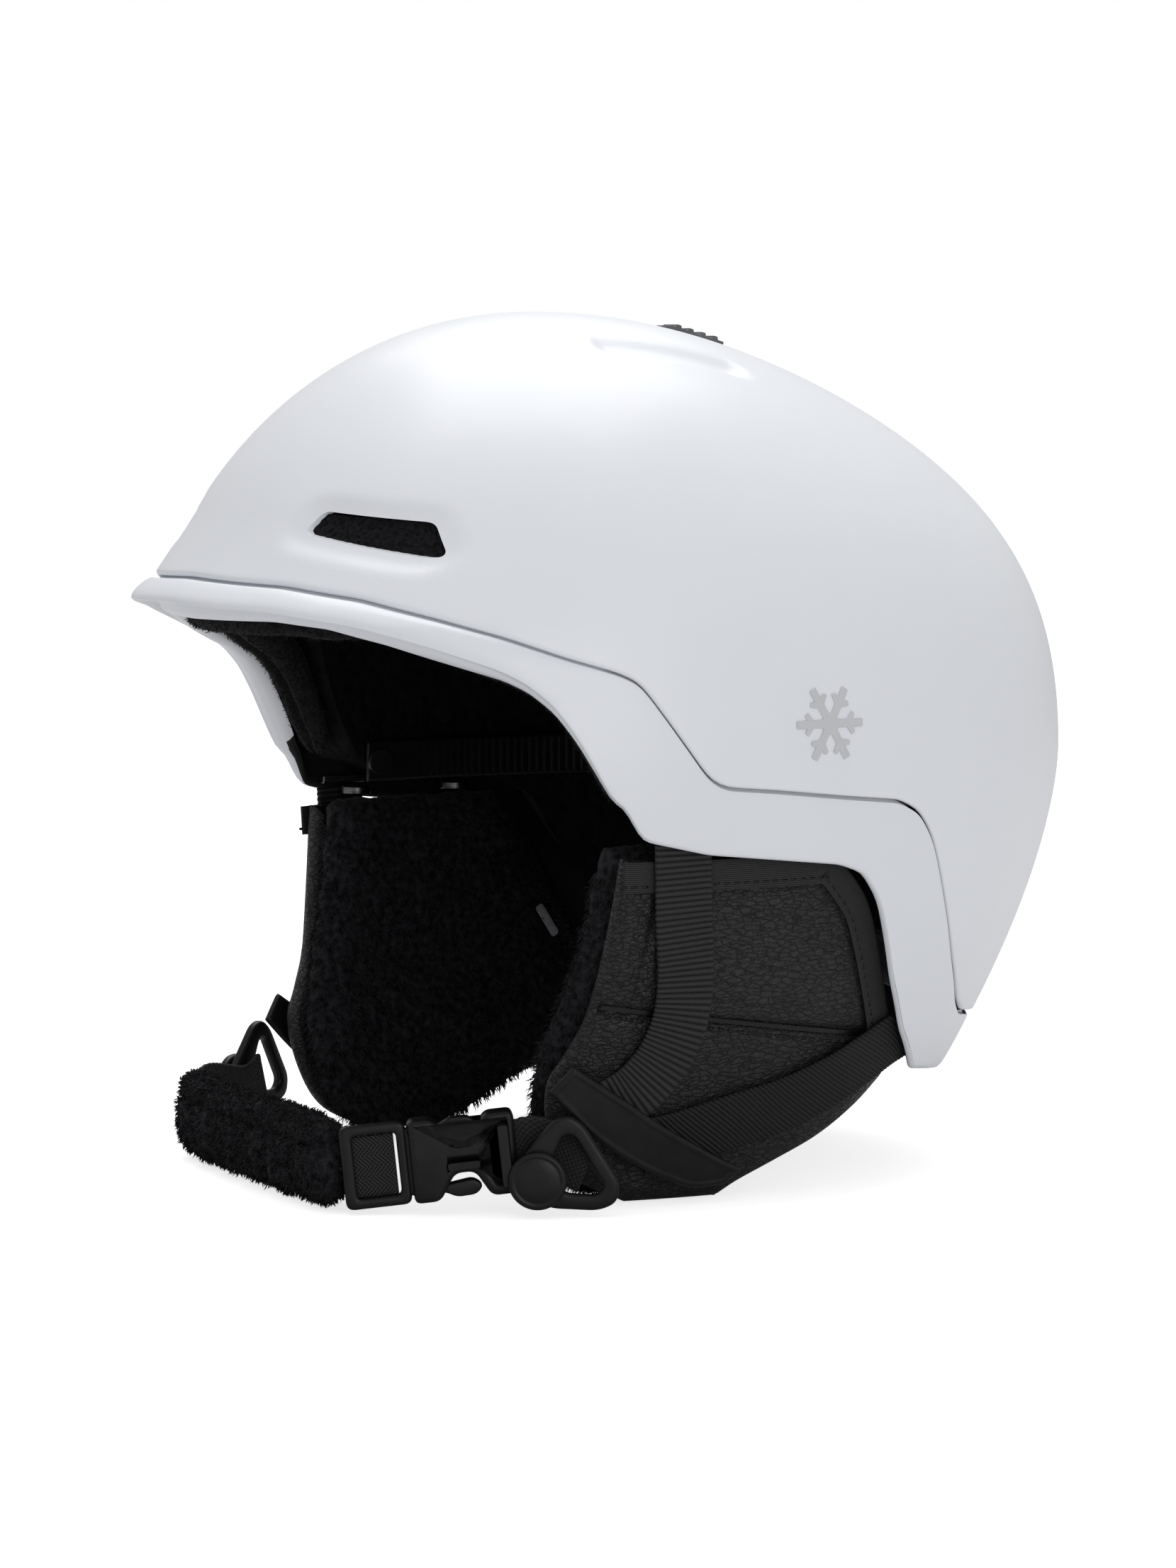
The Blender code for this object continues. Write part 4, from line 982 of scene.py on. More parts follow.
def recess_depth(points):
    """How far the upper shell is pressed in round its vents, its slot and in its scoops."""
    depth = np.zeros(len(points))
    front = points[:, 1] < 0.0
    for side in (1.0, -1.0):
        distance, inside = outline_distance(points[front][:, [0, 2]], vent_outline(side))
        fall = 1.0 - smooth_step(distance / 5.5)
        depth[front] += 1.7 * np.where(inside, 1.0, fall)
        start, end = [np.array(point) * (side, 1.0) for point in SCOOP]
        flat = points[:, :2] - start
        share = np.clip(flat @ (end - start) / ((end - start) @ (end - start)), 0.0, 1.0)
        away = np.linalg.norm(flat - share[:, None] * (end - start), axis=1)
        depth += 2.2 * (1.0 - smooth_step(away / 6.0)) * (points[:, 2] > 190.0)
    _, slot_front, slot_rear = CROWN_SLOT
    beside = np.abs(points[:, 0])
    beyond = np.clip(np.maximum(slot_front - points[:, 1], points[:, 1] - slot_rear), 0.0, None)
    track = (1.0 - smooth_step((np.hypot(beside, beyond) - 5.5) / 1.6)) * (points[:, 2] > 200.0)
    return depth + 0.7 * track


def make_upper_shell():
    angles = shell_angles(340)
    seam = height_of(SEAM_LINE, angles) + SEAM_GAP / 2.0
    edge = dome(OUTER, angles, seam)
    along = unit(np.roll(edge, -1, axis=0) - np.roll(edge, 1, axis=0))
    steep = 1.0 / np.maximum(np.linalg.norm(along[:, :2], axis=1), 0.3)
    outer = meridian(OUTER, angles, seam + 1.7 * steep, 92)
    normals = grid_normals(outer)
    flat = outer.reshape(-1, 3)
    outer = outer - normals * recess_depth(flat).reshape(outer.shape[:2])[..., None]
    edge_normals = normals[-1]
    down = unit(np.cross(along, edge_normals))
    down *= math.copysign(1.0, -down[:, 2].mean())
    radius = SHELL_WALL / 2.0
    middle = edge - (edge_normals + down) * radius
    roll = [middle + radius * (edge_normals * math.cos(turn) + down * math.sin(turn))
            for turn in np.linspace(0.0, math.pi, 9)]
    inner = (outer - normals * SHELL_WALL)[::-1]
    tops = [(0.0, 0.0, OUTER["top"]), (0.0, 0.0, OUTER["top"] - SHELL_WALL)]
    shell = skin("shell_top", np.concatenate([outer, roll, inner]), "shell", poles=tops)
    tools = []
    for side in (1.0, -1.0):
        outline = vent_outline(side)
        rows = [np.stack([outline[:, 0], np.full(len(outline), y), outline[:, 1]], axis=1)
                for y in (-118.0, -48.0)]
        tools.append(skin("vent_tool", rows, None))
    width, front, rear = CROWN_SLOT
    slot = rounded([(-width / 2, front), (width / 2, front), (width / 2, rear), (-width / 2, rear)], 1.6)
    rows = [np.column_stack([slot, np.full(len(slot), z)]) for z in (225.0, 255.0)]
    tools.append(skin("slot_tool", rows, None))
    carve(shell, *tools)
    paint_inside_shade(shell)
    sharpen(shell)
    place_piece(shell, "root", "shell", "shell_upper")


def make_lower_shell():
    """Band with a lip under the brow, a channel behind the lip and a rounded inner rim."""
    angles = shell_angles(340)
    share, rim = brim_share(angles), rim_share(angles)
    seam = height_of(SEAM_LINE, angles) - SEAM_GAP / 2.0
    edge = height_of(EDGE_LINE, angles)
    tall = seam - edge

    def mix(plain, brow):
        return plain * (1.0 - share) + brow * share

    def reach(plain, brow):
        return plain * (1.0 - rim) + brow * rim

    controls = [
        (mix(-2.8, -3.4), seam + 0.9),
        (mix(-2.6, -3.0), seam - 0.4),
        (mix(-1.7, -2.0), seam - mix(0.5, 1.2)),
        (mix(-0.75, -0.5), seam - mix(0.25, 0.75)),
        (mix(-0.5, 0.5), seam - mix(1.0, 0.9)),
        (mix(-0.4, 1.7), seam - mix(0.15 * tall, 2.2)),
        (mix(-0.3, BRIM_REACH), seam - mix(0.40 * tall, 4.0)),
        (mix(-0.3, BRIM_REACH - 0.1), seam - mix(0.60 * tall, 5.5)),
        (mix(-0.35, 1.3), seam - mix(0.80 * tall, 6.8)),
        (mix(-0.5, -0.8), mix(edge + 1.6, seam - 6.9)),
        (reach(-0.8, -3.4), mix(edge + 0.6, seam - 6.1)),
        (reach(-1.3, -6.2), mix(edge + 0.1, edge + 1.2)),
        (reach(-1.9, -9.2), mix(edge, edge - RIM_DROP + 0.9)),
        (reach(-2.5, -RIM_DEPTH + 1.8), mix(edge + 0.3, edge - RIM_DROP)),
        (reach(-3.0, -RIM_DEPTH - 1.2), mix(edge + 1.6, edge - RIM_DROP + 1.0)),
        (reach(-3.0, -RIM_DEPTH - 1.7), mix(edge + 3.0, edge + 1.8)),
        (mix(-3.0, -RIM_DEPTH + 2.0), edge + mix(0.25 * tall, 5.0)),
        (mix(-3.0, -RIM_DEPTH + 7.0), edge + mix(0.55 * tall, 7.4)),
        (mix(-3.2, -4.6), seam - mix(1.6, 1.8)),
        (mix(-3.5, -4.1), seam + 0.7),
    ]
    cage = np.stack([np.stack([step, z], axis=-1) for step, z in controls])
    section = smooth_path(cage.reshape(len(controls), -1), 120, closed=True).reshape(120, len(angles), 2)
    rows = dome(OUTER, angles, section[..., 1]) + outward(angles, section[..., 0])
    shell = skin("shell_band", rows, "lower_shell", around=True)
    paint_inside_shade(shell)
    place_piece(shell, "root", "lower_shell", "shell_lower")


def paint_inside_shade(shell):
    """Black painted shade on the faces behind the ear pads and at the back that look inwards."""
    mesh = shell.data
    # painted shade: inward-looking faces at the sides and back take a black material where shade falls
    # inside the helmet
    mesh.materials.append(LOOKS["inside_shade"])
    for face in mesh.polygons:
        x, y, z = world_to_dome(face.center)
        degrees = math.degrees(math.atan2(x, -y))
        outward_x, outward_y = x / math.hypot(x, y), y / math.hypot(x, y)
        faces_in = face.normal.x * outward_x + face.normal.y * outward_y < INSIDE_SHADE_FACING
        above_edge = z > height_of(EDGE_LINE, degrees) + INSIDE_SHADE_ABOVE_EDGE
        if faces_in and above_edge and abs(degrees) > INSIDE_SHADE_START:
            face.material_index = 1


def make_emblem():
    """Six-armed flake, raised a little from the shell on each side."""
    arm, half, core = 11.0, 1.15, 2.6
    outline = []
    for turn in np.radians(np.arange(0.0, 360.0, 60.0)):
        along = np.array((math.cos(turn), math.sin(turn)))
        across = np.array((-along[1], along[0]))
        barb = [(core, -half), (5.6, -half), (7.2, -3.3), (8.4, -2.4), (7.6, -half), (arm, -half)]
        outline += [along * u + across * v for u, v in barb + [(u, -v) for u, v in barb[::-1]]]
    y, z = EMBLEM

    def on_side(u, v, w):
        return np.stack([dome_x(y + u, z + v) + w, y + u, z + v], axis=-1)

    outline = evenly(rounded(outline, 0.35, 4), 360, closed=True)
    levels = [(-0.4, 0.0), (0.3, 0.0), (0.42, 0.14)]
    rows = [on_side(*inset(outline, shrink).T, np.full(len(outline), w)) for w, shrink in levels]
    flake = sharpen(skin("side_emblem_left", rows, "emblem"))
    both_sides(flake, "root", "shell")


def make_foam():
    angles = np.arange(0.0, 360.0, 2.0)
    edge = height_of(FOAM_LINE, angles)
    outer = meridian(OUTER, angles, edge + 1.0, 50, FOAM_INSET)
    inner = meridian(INNER, angles, edge + 1.0, 44)
    lip = [dome(OUTER, angles, edge, FOAM_INSET + 1.0), dome(INNER, angles, edge, -1.0)]
    foam = skin("foam_liner", np.concatenate([outer, lip, inner[::-1]]), "foam",
                poles=((0, 0, OUTER["top"] - FOAM_INSET), (0, 0, INNER["top"])))
    pocket = np.array([(-10.0, 15.0), (10.0, 15.0), (10.0, 75.0), (-10.0, 75.0)])
    tools = [skin("pocket_tool", [np.column_stack([pocket, np.full(4, z)]) for z in (224.5, 242.5)], None)]
    for side in (1.0, -1.0):
        for low, high, depths in (((32.0, 175.0), (73.0, 192.5), (-112.0, -60.0)),
                                  ((42.0, 180.0), (62.0, 185.0), (-118.0, -30.0))):
            corners = np.array([(low[0], low[1]), (high[0], low[1]), (high[0], high[1]), (low[0], high[1])])
            rows = [np.column_stack([corners[:, 0] * side, np.full(4, y), corners[:, 1]]) for y in depths]
            if depths[1] == -60.0:
                rows = [on_dome_front(side, corners, depth) for depth in (0.5, 5.2)]
            tools.append(skin("air_tool", rows, None))
    carve(foam, *tools)
    sharpen(foam)
    place_piece(foam, "root", "foam", "eps_liner")


def on_dome_front(side, flat, depth):
    """Points of (x, z) pairs on the front of the dome, pressed in by a depth."""
    x, z = np.asarray(flat, float).T

    def y_of(x, z):
        front, _, reach, centre = half_axes(OUTER, z, 0.0)
        return centre - (front + centre) * (1.0 - (x / reach) ** PLAN_POWER) ** (1.0 / PLAN_POWER)

    across = (y_of(x + 1.0, z) - y_of(x - 1.0, z)) / 2.0
    rise = (y_of(x, z + 1.0) - y_of(x, z - 1.0)) / 2.0
    normal = unit(np.stack([across, -np.ones_like(x), rise], axis=-1))
    place = np.stack([x, y_of(x, z), z], axis=-1) - normal * np.asarray(depth, float)[..., None]
    return place * (side, 1.0, 1.0)


def make_vent_fleece():
    """Knitted net behind each brow vent."""
    u, v = np.meshgrid(np.linspace(0.0, 1.0, 90), np.linspace(0.0, 1.0, 34), indexing="ij")
    corners = np.array([(33.5, 178.0), (33.5, 191.0), (71.0, 188.0), (71.0, 175.5)])
    low = corners[0] * (1 - u[..., None]) + corners[3] * u[..., None]
    high = corners[1] * (1 - u[..., None]) + corners[2] * u[..., None]
    flat = (low * (1 - v[..., None]) + high * v[..., None]).reshape(-1, 2)
    knit = 0.28 * np.sin(flat[:, 0] * 2.6) * np.sin(flat[:, 1] * 2.6)
    faces = [on_dome_front(1.0, flat, depth).reshape(90, 34, 3) for depth in (3.1 - knit, 4.0)]
    rows = np.concatenate([faces[0], faces[1][:, ::-1]], axis=1)
    net = skin("vent_net_left", rows, "fleece")
    both_sides(net, "root", "fleece", "vent_mesh")


# ------------------------------------------------------------------ comfort liner and fit system
def make_brow_fleece():
    """Two fleece rolls side by side along the inside of the face opening."""
    angles = np.linspace(-BROW_HALF_ANGLE, BROW_HALF_ANGLE, 440)
    share = rim_share(angles)
    start = -3.6 * (1.0 - share) - (RIM_DEPTH + 3.0) * share
    taper = np.sqrt(np.clip(1.0 - (np.abs(angles) / BROW_HALF_ANGLE) ** 30, 0.0, 1.0))[:, None]
    turn = np.linspace(0.0, 2 * math.pi, 80, endpoint=False)
    groove = 1.0 - 0.42 * np.exp(-((np.cos(turn) - 0.12) / 0.2) ** 2)
    step = start[:, None] - 6.5 * (1.0 - np.cos(turn) * taper)
    lift = BROW_TEMPLE_LIFT * smooth_step((np.abs(angles) - 18.0) / 16.0) - BROW_DROP
    z = (height_of(EDGE_LINE, angles) + lift)[:, None] + 5.7 * np.sin(turn) * groove * taper
    wide = np.broadcast_to(angles[:, None], z.shape)
    rows = dome(OUTER, wide, z) + outward(wide, step)
    brow = skin("brow_rolls", rows, "fleece", caps=False)
    ruffle(brow, (9.0, 0.3), (1.6, 0.18), (0.8, 0.12))
    place_piece(brow, "root", "fleece", "comfort_brow")
    place_piece(pile(brow, 11000, 1.3, 0.26, 0.1), "root", "fleece")


def make_crown_pad():
    """Quilted fleece pad under the crown."""
    angles = np.arange(0.0, 360.0, 2.5)
    outer = meridian(INNER, angles, np.full(angles.shape, 176.0), 46, CROWN_GAP)
    normals = grid_normals(outer)
    from_edge = np.linspace(46.0, 0.0, 46)[:, None] * 1.15
    quilt = np.minimum(np.abs(np.sin(np.radians(angles) * 3.0))[None, :] * 3.0, 1.0)
    thick = 5.0 * np.sqrt(np.clip(from_edge / 4.0, 0.02, 1.0)) * (0.55 + 0.45 * quilt ** 0.5)
    inner = outer - normals * thick[..., None]
    poles = ((0, 0, INNER["top"] - CROWN_GAP), (0, 0, INNER["top"] - CROWN_GAP - 4.4))
    pad = skin("crown_pad", np.concatenate([outer, inner[::-1]]), "fleece", poles=poles)
    ruffle(pad, (1.6, 0.3))
    place_piece(pad, "root", "fleece", "comfort_crown")


def round_the_head(radius, degrees, z):
    turn = np.radians(degrees)
    return np.stack([radius * np.sin(turn), CENTRE_SHIFT + radius * np.cos(turn), z], axis=-1)


def make_fit_system():
    refined("fit_cradle", "plastic", "fit_cradle_body", "black_plastic", 0.6)
    refined("fit_housing", "plastic", "fit_cradle_body", "black_plastic", 0.3)
    half = CRADLE_HALF_ANGLE - 3.0
    degrees, z = np.meshgrid(spread(-half, half, 130), spread(50.0, 112.0, 80), indexing="ij")
    grid = np.stack([degrees * 1.52, z], axis=-1)
    outer = CRADLE_RADIUS - GAP

    def on_cradle(u, v, w):
        return round_the_head(outer - 1.8 + w, u / 1.52, v)

    def quilting(flat, _):
        return -0.7 * np.exp(-((np.abs(flat[:, 0]) - 17.0) / 1.2) ** 2)

    pad = pillow("nape_pad", grid, 1.8, -1.8, 2.4, on_cradle, "fleece", quilting)
    ruffle(pad, (1.6, 0.25), (0.8, 0.15))
    place_piece(pad, "fit_cradle_body", "fleece", "fit_pad")
    make_dial()
    for side, word in ((1, "left"), (-1, "right")):
        path = smooth_path([(side * x, y, BAND_Z) for x, y in BAND_PATH], 120)
        normals = level_normals(path) * side
        band = strap("ratchet_band_" + word, path, normals, 12.0, 1.2, "plastic", rib=0.3, pitch=2.4)
        place_piece(band, "root", "black_plastic", "fit_band_" + word)
        refined("fit_peg_" + word, "plastic", "root", "black_plastic", 0.3)


def make_dial():
    """Knurled wheel with a dished face."""
    turn = np.linspace(0.0, 2 * math.pi, 288, endpoint=False)
    knurl = 0.35 * np.abs(np.sin(turn * 18.0)) - 0.35
    x, y, z = DIAL_CENTRE
    profile = [(0.2, -3.5, 0), (12.2, -3.5, 0), (12.9, -2.9, 1), (13.0, 0.0, 1), (12.9, 2.6, 1),
               (12.3, 3.4, 1), (11.2, 3.5, 0), (10.4, 3.2, 0), (9.8, 2.6, 0), (6.0, 2.2, 0), (0.2, 2.1, 0)]
    rows = []
    for radius, depth, ribbed in profile:
        reach = radius + knurl * ribbed
        rows.append(np.stack([x + reach * np.sin(turn), np.full(len(turn), y + depth),
                              z + reach * np.cos(turn)], axis=1))
    dial = sharpen(skin("ratchet_dial", rows, "grey_plastic"), 50.0)
    place_piece(dial, "fit_dial_body", "grey_plastic", "fit_dial")


# ------------------------------------------------------------------ ear pads
def side_line(table):
    """Smooth y of a pad's front or rear edge at a height."""
    z, y = smooth_path(table, 400).T
    order = np.maximum.accumulate(z)
    return lambda height: np.interp(height, order, y)


def pad_grid(front, rear, low, high, rows, columns):
    z = spread(low, high, rows)
    ends = [side_line(table)(z) for table in (front, rear)]
    across = spread(0.0, 1.0, columns)
    y = ends[0][:, None] * (1 - across) + ends[1][:, None] * across
    return np.stack([y, np.broadcast_to(z[:, None], y.shape)], axis=-1)


def seam_distance(flat):
    """Signed distance of (y, z) points above the seam between the two leather panels."""
    start, end = np.array(PANEL_SEAM[0]), np.array(PANEL_SEAM[1])
    along = (end - start) / np.linalg.norm(end - start)
    return (flat - start) @ np.array((-along[1], along[0]))


def leather_sink(flat, distance):
    """Lower the face at its panel seam, and a little towards its border."""
    away = seam_distance(flat)
    groove = 1.7 * np.exp(-(away / 1.0) ** 2) + 0.5 * np.exp(-(away / 4.5) ** 2)
    border = 0.45 * np.exp(-((distance - 9.6) / 0.9) ** 2) * (away > 1.0)
    near_front = np.exp(-((flat[:, 0] + 33.0) / 7.0) ** 2)
    folds = 0.16 * np.sin(flat[:, 1] * 0.9 + 0.5 * np.sin(flat[:, 0] * 0.4)) * near_front
    return LEATHER_SINK + groove + border + folds


def edge_of_pad(inwards, count=240):
    """(y, z) line inside the pad's top and rear edge, from the front of its top to its panel seam."""
    rear = side_line(PAD_REAR)
    z = np.linspace(96.5, 43.5, 120)
    line = np.vstack([[(-25.5, 96.5)], [(y, 96.5) for y in np.linspace(-20.0, 30.0, 20)],
                      np.column_stack([rear(z), z])])
    line = evenly(line, 400)
    for _ in range(30):
        line[1:-1] = (line[:-2] + line[2:]) / 2.0 * 0.5 + line[1:-1] * 0.5
    along = unit(np.gradient(line, axis=0))
    return evenly(line + np.stack([along[:, 1], -along[:, 0]], axis=1) * inwards, count)


def lifted_line(flat, lift):
    """(y, z) points placed above the pad, with their normals."""
    y, z = flat.T
    return on_pad(y, z, np.full(len(y), lift)), pad_normal(y, z)


def make_binding():
    """Tape folded over the top and rear edge of the leather, sewn down by one row of thread."""
    middle, _ = lifted_line(edge_of_pad(4.9), -LEATHER_SINK + 0.25)
    normals = pad_normal(*edge_of_pad(4.9).T)
    tape = strap("edge_binding_left", middle, normals, 8.6, 0.9, "binding_tape",
                 rib=0.1, pitch=0.9, selvedge=0.1)
    both_sides(tape, "ear_SIDE", "webbing")
    row = stitches("edge_stitching_left", *lifted_line(edge_of_pad(7.4), -LEATHER_SINK + 0.68))
    both_sides(row, "ear_SIDE", "webbing")


def make_ear_pads():
    grid = pad_grid(PAD_FRONT, PAD_REAR, 0.0, 96.5, 150, 130)
    leather = pillow("leather_pad_left", grid, -PAD_WALL, 0.0, 4.5, beside_pad, "leather", leather_sink)
    pieces = both_sides(leather, "ear_SIDE", "leather", "ear_pad")
    make_binding()
    start, end = np.array(PANEL_SEAM[0]), np.array(PANEL_SEAM[1])
    # painted shade: a thin dark strip in thread colour lies in the panel seam's groove and darkens the seam
    # line
    seam = strap("panel_seam_left", *lifted_line(np.linspace(start + (1.0, 0.0), end + (-4.0, 0.0), 80),
                                                 -LEATHER_SINK - 0.9), 1.4, 0.5, "thread")
    both_sides(seam, "ear_SIDE", "webbing")
    line = np.linspace(start + (3.0, -2.6), end + (-5.0, -2.6), 80)
    row = stitches("seam_stitching_left", *lifted_line(line, -LEATHER_SINK - 0.15))
    both_sides(row, "ear_SIDE", "webbing")
    grid = pad_grid(PLUSH_FRONT, PLUSH_REAR, 1.0, PLUSH_TOP, 90, 80)
    inner = -PAD_WALL - PLUSH_GAP
    plush = pillow("plush_pad_left", grid, inner - PLUSH_WALL + 0.8, inner - 0.8, 6.4, beside_pad, "plush")
    puff(plush, 2.2, 4.0, 0.8)
    ruffle(plush, (14.0, 0.5), (4.5, 0.8), (1.8, 0.5))
    pieces += both_sides(plush, "ear_SIDE", "plush", "ear_plush")
    fur = pile(plush, 14000, 3.6, 0.4, 0.8, lambda points: points[:, 2] < FUR_TOP)
    both_sides(fur, "ear_SIDE", "plush")
    for place in ("front", "rear"):
        for side in ("left", "right"):
            refined(f"ear_snap_{place}_{side}", "steel", "root", "steel", 0.5)


# ------------------------------------------------------------------ straps, yokes and rings
def make_straps():
    for name, node, route, look, rib in (("front", "strap_front", FRONT_WEB, "rib_webbing", 0.16),
                                         ("rear", "strap_rear", REAR_WEB, "twill_webbing", 0.05)):
        flat = smooth_path(route, 160)
        points, normals = lifted_line(flat, 1.25)
        web = strap(f"webbing_{name}_left", points, normals, WEB_WIDTH, WEB_WALL, look, rib=rib)
        both_sides(web, "root", "webbing", node)
    for node, look, slot in (("anchor_front", "steel", "steel"), ("anchor_rear", "steel", "steel")):
        for side in ("left", "right"):
            refined(f"{node}_{side}", look, "root", slot, 0.4)


def make_yokes():
    lines = np.array(YOKE_LINES, float).reshape(len(YOKE_LINES), 4)
    lines = evenly(smooth_path(lines, 200), 120).reshape(-1, 2, 2)
    across = spread(0.0, 1.0, 44)[None, :, None]
    grid = lines[:, :1] * (1 - across) + lines[:, 1:] * across

    def sink(_, distance):
        return 0.3 * smooth_step((distance - 1.3) / 0.8)

    yoke = pillow("strap_guide_left", grid, YOKE_LIFT, YOKE_LIFT + YOKE_WALL, 1.1, on_pad, "plastic", sink)
    both_sides(yoke, "root", "black_plastic", "strap_yoke")


def ring_frame(centre, turn_side, lift=0.0):
    """Frame of a strap ring: X along the strap, Y up, Z away from the pad."""
    along = Vector((0.5 * turn_side, 0.866, 0.0)).normalized()
    out = Vector((0.866 * turn_side, -0.5, 0.0)).normalized()
    turn = Matrix((along, Vector((0, 0, 1)), out)).transposed().to_4x4()
    return Matrix.Translation((centre[0], centre[1], lift)) @ turn


def make_rings():
    outline = seen_from(RING_EYE, rounded(RING_OUTLINE, 2.6), 220)
    window = seen_from(RING_EYE, rounded(RING_WINDOW, 1.8), 220)
    turn = np.linspace(0.0, 2 * math.pi, 96, endpoint=False)
    profile = [(7.4, -1.5), (7.9, -1.1), (8.0, 0.3), (7.7, 1.1), (7.2, 1.45), (6.6, 1.5), (6.3, 1.25),
               (6.0, 1.2), (5.7, 1.35), (3.0, 1.42), (0.1, 1.45)]
    lift = RING_WALL / 2 + GAP + DISC_WALL / 2
    for word, matrix in (("left", ring_frame(RING_CENTRE, 1)),
                         ("right", ring_frame(RING_RIGHT_CENTRE, -1, RING_RIGHT_LIFT))):
        to_point = in_frame(matrix)
        ring = soft_prism("slip_ring_" + word, outline, RING_WALL / 2, 1.2, to_point, "plastic", hole=window)
        place_piece(ring, "root", "black_plastic", "strap_ring_" + word)
        rows = [to_point(DISC_CENTRE[0] + r * np.cos(turn), DISC_CENTRE[1] + r * np.sin(turn),
                         np.full(len(turn), lift + w)) for r, w in profile]
        disc = skin("thumb_disc_" + word, rows, "plastic")
        place_piece(disc, "root", "black_plastic", "ring_disc_" + word)


# ------------------------------------------------------------------ buckle and chin pad
def buckle_matrix():
    level = Vector((math.cos(BUCKLE_TURN), math.sin(BUCKLE_TURN), 0.0))
    along = level * math.cos(BUCKLE_TILT) + Vector((0.0, 0.0, math.sin(BUCKLE_TILT)))
    out = Vector((level.y, -level.x, 0.0))
    turn = Matrix((along, out.cross(along), out)).transposed().to_4x4()
    return Matrix.Translation(BUCKLE_START) @ turn


ON_BUCKLE = in_frame(buckle_matrix())


def buckle_points(*points):
    return ON_BUCKLE(*np.array(points, float).T)


def make_chin_webbing():
    behind = -(RING_WALL / 2 + 2.0 * GAP + WEB_WALL / 2)
    out = np.array(buckle_matrix().to_3x3())[:, 2]
    ring = in_frame(ring_frame(RING_CENTRE, 1))
    buckle_end = buckle_points((FEMALE_END + 6.5, 0.6, 0.0), (FEMALE_END - 1.0, 0.6, 0.0))
    place_web("chin_web_left", [ring(6.0, 12.5, behind), *buckle_end], 1, 15.0, "chin_webbing_left", "root")
    ring = in_frame(ring_frame(RING_RIGHT_CENTRE, -1, RING_RIGHT_LIFT))
    route = [ring(-2.0, 11.0, behind), ring(-12.0, 8.0, behind), (-68.5, -70.0, 17.0), (-64.6, -75.2, 14.5)]
    place_web("chin_web_right", route, -1, 15.0, "chin_webbing_right", "root", "chin_strap")
    line = buckle_points((3.6, 0.0, 0.0), (15.5, 0.0, 0.0))
    loop = strap("chin_web_front", line, np.array([out, out]), 17.0, WEB_WALL, "herringbone_webbing")
    place_piece(loop, "chin_strap", "webbing", "chin_webbing_front")


def place_web(name, route, side, width, node, body, far_body=None):
    """Short webbing along a route, placed on one body; given a far body, it is left unplaced with its
    transform baked and its CAD node hidden.
    """
    path = smooth_path(np.array(route), 60)
    web = strap(name, path, level_normals(path) * side, width, WEB_WALL, "basket_webbing", rib=0.1)
    if far_body is None:
        place_piece(web, body, "webbing", node)
        return
    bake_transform(web)
    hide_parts(node)


def buckle_tool(flat, low, high):
    """Closed cutter between two depths of the buckle's frame."""
    rows = [ON_BUCKLE(flat[:, 0], flat[:, 1], np.full(len(flat), w)) for w in (low, high)]
    return skin("buckle_tool", rows, None)


def make_buckle():
    half = BUCKLE_HALF
    frame_outline = [(0.8, -half), (MOUTH - 0.5, -half), (MOUTH - 0.5, half), (0.8, half)]
    window = [(4.2, -8.6), (16.2, -8.6), (16.2, 8.6), (4.2, 8.6)]
    eye = (10.2, 0.0)
    plug = soft_prism("buckle_plug", seen_from(eye, rounded(frame_outline, 2.4), 240), 2.1, 1.0, ON_BUCKLE,
                      "plastic", hole=seen_from(eye, rounded(window, 1.4), 240))
    place_piece(plug, "chin_strap", "black_plastic", "buckle_male")
    tongue = [(MOUTH - 0.9, -COLLAR_HALF), (MOUTH + 0.9, -COLLAR_HALF), (MOUTH + 2.4, -GUIDE_HALF),
              (SOCKET_END - 1, -GUIDE_HALF), (SOCKET_END - 1, GUIDE_HALF), (MOUTH + 2.4, GUIDE_HALF),
              (MOUTH + 0.9, COLLAR_HALF), (MOUTH - 0.9, COLLAR_HALF)]
    tongue = rounded(tongue, 0.6)
    guide = soft_prism("buckle_guide", tongue, 1.9, 0.5, ON_BUCKLE, "plastic")
    place_piece(guide, "chin_strap", "black_plastic")
    waist = 4.2
    outline = [(MOUTH, -half), (26.5, -half), (31.0, -waist), (36.5, -waist), (40.5, -half),
               (FEMALE_END, -half), (FEMALE_END, half), (40.5, half), (36.5, waist), (31.0, waist),
               (26.5, half), (MOUTH, half)]
    outline = evenly(rounded(outline, 2.0), 300, closed=True)
    socket = soft_prism("buckle_socket", outline, SOCKET_WALL / 2, 1.5, ON_BUCKLE, "plastic")
    hollow = [(MOUTH - 5, -CAVITY_HALF), (SOCKET_END, -CAVITY_HALF), (SOCKET_END, CAVITY_HALF),
              (MOUTH - 5, CAVITY_HALF)]
    slot = rounded([(43.6, -8.4), (46.2, -8.4), (46.2, 8.4), (43.6, 8.4)], 0.8)
    tools = [buckle_tool(np.array(hollow), -CAVITY_WALL / 2, CAVITY_WALL / 2),
             buckle_tool(slot, -10.0, 10.0)]
    for sign in (1.0, -1.0):
        panel = [(29.3, sign * 1.0), (38.0, sign * 1.0), (38.0, sign * 2.9), (29.3, sign * 2.9)]
        tools.append(buckle_tool(rounded(panel, 0.7), 3.9, 6.0))
    carve(socket, *tools)
    sharpen(socket, 45.0)
    place_piece(socket, "root", "black_plastic", "buckle_female")
    root = MOUTH - 0.15
    for sign, word in ((1, "upper"), (-1, "lower")):
        arm = [(root, sign * 6.4), (root, sign * 9.1), (28.0, sign * 9.3), (31.0, sign * 11.0),
               (36.5, sign * 10.8), (38.6, sign * 8.4), (36.0, sign * 6.2), (28.0, sign * 7.2)]
        flat = evenly(rounded(arm, 1.6), 160, closed=True)
        prong = soft_prism("prong_" + word, flat, 1.9, 0.7, ON_BUCKLE, "plastic")
        place_piece(prong, "latch_arm_" + word, "black_plastic", "latch_" + word)


